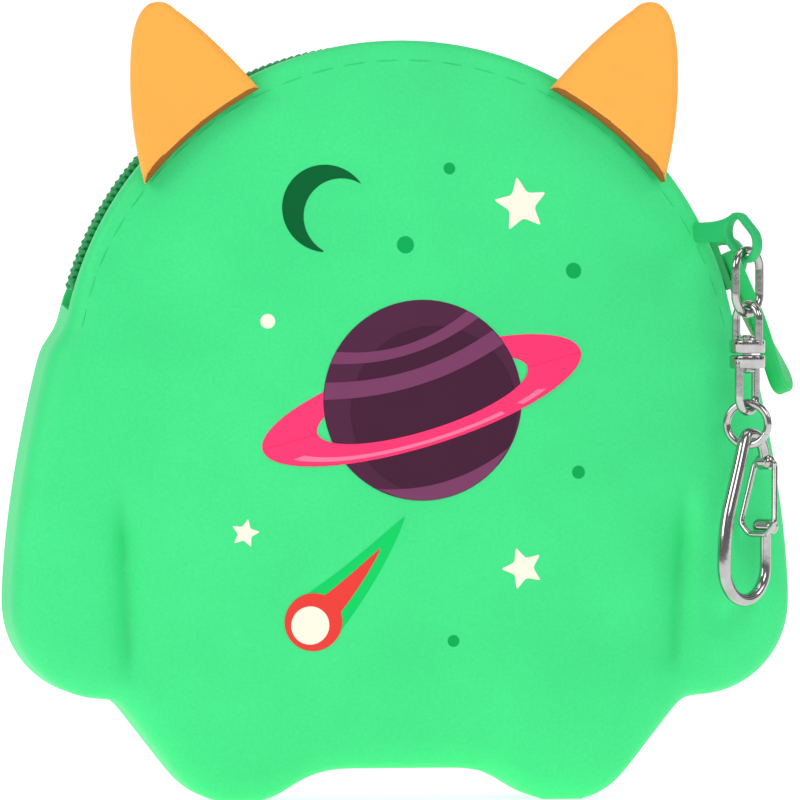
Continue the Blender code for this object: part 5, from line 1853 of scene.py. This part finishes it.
    def swivel_half(
        self, name: str, turn: float, collar_top: float, loop_end: float, node: str, body: str
    ) -> None:
        """One half of the swivel, a bowed loop on a pierced collar.

        Args:
            name: Name of the piece.
            turn: How far its plane is turned, in degrees.
            collar_top: Height of the collar's top.
            loop_end: Height of the bow's wire line at its far end.
            node: Node that it stands for.
            body: Body that it rides on.
        """
        at = self.pivots["swivel_spin"]
        half = self.loop_width / 2 - self.loop_wire
        collar_middle = collar_top - self.collar_height / 2
        way = 1.0 if loop_end > collar_middle else -1.0
        straight = abs(loop_end - collar_middle) - half
        bow = arc((0.0, straight), half, 0.0, 180.0, count=30)
        flat = resample(np.vstack([[(half, 0.0)], bow, [(-half, straight), (-half, 0.0)]]), count=70)
        line = self.place(flat * np.array([1.0, way]), turn, (at[0], at[1], collar_middle))
        loop = tube(line, self.loop_wire, oval=self.loop_oval, flat_axis=self.plane_normal(turn))
        collar = lathe(self.collar_profile(), (at[0], at[1], collar_middle))
        self.hang(name, joined([loop, collar]), node, body)

    def rivet(self, upper: float, lower: float) -> None:
        """The rivet with its two domed heads.

        Args:
            upper: Foot of the upper collar.
            lower: Top of the lower collar.
        """
        at = self.pivots["swivel_spin"]
        top = upper + self.collar_height + self.clearance
        bottom = lower - self.collar_height - self.clearance
        rise = np.linspace(self.rivet_flat, math.pi / 2, self.rivet_points)
        fall = np.linspace(0.0, math.pi / 2 - self.rivet_flat, self.rivet_points)
        profile: list[Flat] = [(self.axis_radius, bottom - self.rivet_dome)]
        profile += [(self.rivet_head * math.sin(a), bottom - self.rivet_dome * math.cos(a)) for a in rise]
        profile += [(self.rivet_radius, bottom), (self.rivet_radius, top)]
        profile += [(self.rivet_head * math.cos(a), top + self.rivet_dome * math.sin(a)) for a in fall]
        profile += [(self.axis_radius, top + self.rivet_dome)]
        shape = lathe(profile, (at[0], at[1], 0.0), self.rivet_sides)
        self.hang("rivet", shape, "swivel_rivet", "swivel_top")

    def jump_ring(self) -> None:
        """The jump ring, with its hairline split to one side."""
        at = self.pivots["clasp_swing"]
        stretch = np.linspace(self.ring_split_half, 360.0 - self.ring_split_half, self.ring_points)
        angles = np.radians(stretch + self.ring_split_at)
        flat = self.ring_radius * np.stack([np.sin(angles), np.cos(angles)], axis=1)
        line = self.place(flat, self.ring_turn, (at[0], at[1], at[2] + self.ring_radius))
        shape = tube(line, self.ring_wire, flat_axis=self.plane_normal(self.ring_turn))
        self.hang("split_ring", shape, "jump_ring", "ring")

    def clasp_top(self) -> Point:
        """Top of the clasp's wire line."""
        at = self.pivots["clasp_swing"]
        return (at[0], at[1], at[2] + self.ring_wire + self.step + self.clasp_wire)

    def clasp_spot(self, shares: Flat) -> Flat:
        """Place in the clasp's plane.

        Args:
            shares: How far across, as a share of the bow's radius, and down, as a share of the length.

        Returns:
            The place as (x, height).
        """
        bow = self.clasp_width / 2 - self.clasp_wire
        line = self.clasp_height - 2 * self.clasp_wire
        return (bow * shares[0], -line * shares[1])

    def clasp_nose(self) -> Flat:
        """Place of the nose in the clasp's plane."""
        return self.clasp_spot((1.0 - self.set_share, 1.0 - self.nose_share))

    def clasp_line(self) -> np.ndarray:
        """Wire line of the clasp in its plane, from the gate's pivot round to the nose."""
        bow = self.clasp_width / 2 - self.clasp_wire
        line = self.clasp_height - 2 * self.clasp_wire
        centre = (-bow * self.set_share, bow - line)
        stops = (self.pivot_shares, self.top_shares, self.neck_shares, self.spine_shares)
        knots = [self.clasp_spot(shares) for shares in stops] + [(centre[0] - bow, centre[1])]
        parts = []
        for begin, control, end in zip(knots, self.control_shares, knots[1:]):
            parts.append(bend(begin, self.clasp_spot(control), end, count=14))
        parts.append(arc(centre, bow, 180.0, 360.0, count=50))
        parts.append(np.array([(centre[0] + bow, centre[1]), self.clasp_nose()]))
        return relaxed(resample(np.vstack(parts), self.clasp_points), self.clasp_rounds)

    def clasp(self) -> None:
        """The clasp's pear-shaped hook, its pivot boss and the head on its nose."""
        top = self.clasp_top()
        line = self.place(self.clasp_line(), self.clasp_turn, top)
        share = np.clip(np.linspace(0.0, 1.0, len(line)) * self.wire_reach, 0.0, 1.0)
        radii = self.clasp_wire * (self.end_wire + self.middle_wire * np.sin(math.pi * share))
        normal = self.plane_normal(self.clasp_turn)
        parts = [tube(line, radii, sides=self.clasp_sides, flat_axis=normal)]
        pins = ((self.clasp_spot(self.pivot_shares), self.boss_half), (self.clasp_nose(), self.head_half))
        for (x, z), half_length in pins:
            reach = half_length - self.pin_end
            spots = np.array([(x, y, z) for y in np.linspace(-reach, reach, self.pin_points)])
            pin = self.place(spots, self.clasp_turn, top)
            radius = self.boss_radius * self.pin_share
            parts.append(tube(pin, radius, sides=self.clasp_sides, flat_axis=(0.0, 0.0, 1.0)))
        self.hang("clasp_frame", joined(parts), "clasp_body", "clasp")

    def gate(self) -> None:
        """The wire gate, a hairpin that widens from the pivot to its foot."""
        pivot = self.clasp_spot(self.pivot_shares)
        nose = self.clasp_nose()
        boss = self.boss_half + self.clearance + self.gate_wire
        leg = self.head_half + self.clearance + self.gate_wire + self.gate_spread
        shut_x = nose[0] - self.boss_radius - self.clearance - self.gate_wire
        shut_z = nose[1] - self.gate_drop
        half = [
            (pivot[0], boss - self.gate_toe, pivot[1]),
            (pivot[0], boss, pivot[1]),
            (shut_x, leg, shut_z + leg / 2),
            (shut_x, leg / 2, shut_z),
        ]
        corners = [(x, -y, z) for x, y, z in half] + half[::-1]
        fine = relaxed(resample(np.array(corners), self.gate_points), self.gate_rounds)
        line = self.place(fine, self.clasp_turn, self.clasp_top())
        self.hang("wire_gate", tube(line, self.gate_wire, sides=self.gate_sides), "clasp_gate", "gate")

    def build(self) -> None:
        """Every metal piece below the key tab."""
        lower_top = self.pivots["swivel_spin"][2]
        upper_foot = lower_top + self.clearance
        upper_top = upper_foot + self.collar_height
        upper_end = self.pivots["swivel_swing"][2] + self.link_wire + self.step + self.loop_wire
        lower_end = self.pivots["ring_swing"][2]
        self.link()
        self.swivel_half(
            "swivel_upper", self.upper_turn, upper_top, upper_end, "swivel_upper_loop", "swivel_top"
        )
        self.swivel_half(
            "swivel_lower", self.lower_turn, lower_top, lower_end, "swivel_lower_loop", "swivel_bottom"
        )
        self.rivet(upper_foot, lower_top)
        self.jump_ring()
        self.clasp()
        self.gate()
        LOG.info("chain and clasp")


@dataclass(frozen=True)
class SoftBox:
    """A square studio light aimed at the purse."""

    name: str
    place: Point
    size: float
    power: float
    aim: Point = (0.0, 0.0, 0.06)

    def build(self) -> None:
        """Hang the light."""
        data = bpy.data.lights.new(self.name, "AREA")
        data.size = self.size
        data.energy = self.power
        lamp = link_object(self.name, data)
        lamp.location = self.place
        lamp.rotation_mode = "QUATERNION"
        lamp.rotation_quaternion = (Vector(self.aim) - Vector(self.place)).to_track_quat("-Z", "Y")


@dataclass
class Stage:
    """Camera at the photograph's angle, pale sweep and soft studio light."""

    form: PurseForm
    azimuth: float = -9.0
    elevation: float = 1.5
    distance: float = 2.0
    frame_width: float = 121.7 * MM
    aim: Flat = (0.7 * MM, 60.7 * MM)
    clip: Flat = (0.05, 20.0)
    sweep_width: float = 9.0
    sweep_front: float = -4.0
    sweep_back: float = 3.6
    sweep_rise: float = 4.0
    sweep_radius: float = 0.9
    sweep_turn: Flat = (0.05, math.pi / 2)
    sweep_steps: int = 14
    sweep_grey: float = 0.72
    sweep_roughness: float = 0.9
    sweep_glow: float = 0.71
    band_scale: float = 1.5
    band_waver: float = 0.8
    band_range: Flat = (0.42, 0.6)
    band_greys: Flat = (0.015, 1.0)
    surround_strength: float = 0.5
    lights: tuple[SoftBox, ...] = (
        SoftBox("key", (-1.25, -0.8, 0.75), 0.8, 8.2),
        SoftBox("front", (0.35, -1.55, 1.0), 0.7, 6.2),
        SoftBox("top", (0.0, -0.1, 1.4), 0.9, 4.4),
        SoftBox("side", (1.4, -0.5, 0.9), 0.6, 3.4),
    )

    def camera(self) -> None:
        """Place the camera, near square to the front."""
        data = bpy.data.cameras.new("camera")
        data.lens = data.sensor_width * self.distance / self.frame_width
        data.clip_start, data.clip_end = self.clip
        camera = link_object("camera", data)
        a, e = math.radians(self.azimuth), math.radians(self.elevation)
        back = Vector((math.sin(a) * math.cos(e), -math.cos(a) * math.cos(e), math.sin(e)))
        target = Vector(self.form.world(self.aim[0], 0.0, self.aim[1]))
        camera.location = target + back * self.distance
        camera.rotation_mode = "QUATERNION"
        camera.rotation_quaternion = (-back).to_track_quat("-Z", "Y")
        bpy.context.scene.camera = camera

    def sweep(self) -> None:
        """Pale floor that curves up into a backdrop."""
        foot, radius, half = self.sweep_back - self.sweep_radius, self.sweep_radius, self.sweep_width / 2
        profile = [(self.sweep_front, 0.0), (foot, 0.0)]
        for a in np.linspace(*self.sweep_turn, self.sweep_steps):
            profile.append((foot + radius * math.sin(a), radius - radius * math.cos(a)))
        profile.append((self.sweep_back, self.sweep_rise))
        verts = [(x, y, z) for y, z in profile for x in (-half, half)]
        faces = [(2 * i, 2 * i + 1, 2 * i + 3, 2 * i + 2) for i in range(len(profile) - 1)]
        mesh = bpy.data.meshes.new("sweep")
        mesh.from_pydata(verts, [], faces)
        mesh.shade_smooth()
        material = bpy.data.materials.new("pale_sweep")
        material.use_nodes = True
        shader = material.node_tree.nodes["Principled BSDF"]
        shader.inputs["Base Color"].default_value = (self.sweep_grey, self.sweep_grey, self.sweep_grey, 1.0)
        shader.inputs["Roughness"].default_value = self.sweep_roughness
        shader.inputs["Emission Color"].default_value = (1.0, 1.0, 1.0, 1.0)
        shader.inputs["Emission Strength"].default_value = self.sweep_glow
        mesh.materials.append(material)
        link_object("sweep", mesh)

    def surround(self) -> None:
        """Pale surround with darker bands at the sides, which the metal mirrors."""
        world = bpy.data.worlds.new("surround")
        world.use_nodes = True
        tree = world.node_tree
        place = tree.nodes.new("ShaderNodeTexCoord")
        bands = tree.nodes.new("ShaderNodeTexWave")
        bands.bands_direction = "X"
        bands.inputs["Scale"].default_value = self.band_scale
        bands.inputs["Distortion"].default_value = self.band_waver
        bands.inputs["Detail"].default_value = 0.0
        ramp = tree.nodes.new("ShaderNodeValToRGB")
        for stop, position, grey in zip(ramp.color_ramp.elements, self.band_range, self.band_greys):
            stop.position = position
            stop.color = (grey, grey, grey, 1.0)
        tree.links.new(place.outputs["Generated"], bands.inputs["Vector"])
        tree.links.new(bands.outputs["Fac"], ramp.inputs["Fac"])
        tree.links.new(ramp.outputs["Color"], tree.nodes["Background"].inputs["Color"])
        tree.nodes["Background"].inputs["Strength"].default_value = self.surround_strength
        bpy.context.scene.world = world

    def build(self) -> None:
        """Camera, sweep, lights and surround."""
        self.camera()
        self.sweep()
        for light in self.lights:
            light.build()
        self.surround()
        bpy.context.scene.view_settings.view_transform = "Standard"
        LOG.info("stage")


def joint_places(record: dict) -> dict[str, Point]:
    """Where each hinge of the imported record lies."""
    joints = record["behaviour"]["joints"]
    return {joint["name"]: tuple(joint["pos_m"]) for joint in joints if "pos_m" in joint}


def dress_nodes(nodes: dict, finishes: Finishes) -> None:
    """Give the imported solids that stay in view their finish.

    Args:
        nodes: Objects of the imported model, by name.
        finishes: Materials of the purse.
    """
    looks = {
        "slider_body": finishes.slider,
        "bottom_stop": finishes.coil,
        "front_top_stop": finishes.coil,
        "rear_top_stop": finishes.coil,
    }
    for node, material in looks.items():
        for material_slot in nodes[node].material_slots:
            material_slot.material = material


def main() -> None:
    """Load the frame, then build every piece on it."""
    logging.basicConfig(level=logging.INFO, format="%(name)s: %(message)s")
    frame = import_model()
    finishes = Finishes()
    form = PurseForm()
    pivots = joint_places(frame["record"])
    Stage(form).build()
    Skins(form, finishes).build()
    Print(form, finishes).build()
    Zip(form, finishes).build()
    Horns(form, finishes).build()
    StrapAndTab(form, finishes, pivots["pull_swing"], pivots["link_swing"]).build()
    Chain(finishes, pivots).build()
    dress_nodes(frame["nodes"], finishes)


if __name__ == "__main__":
    main()
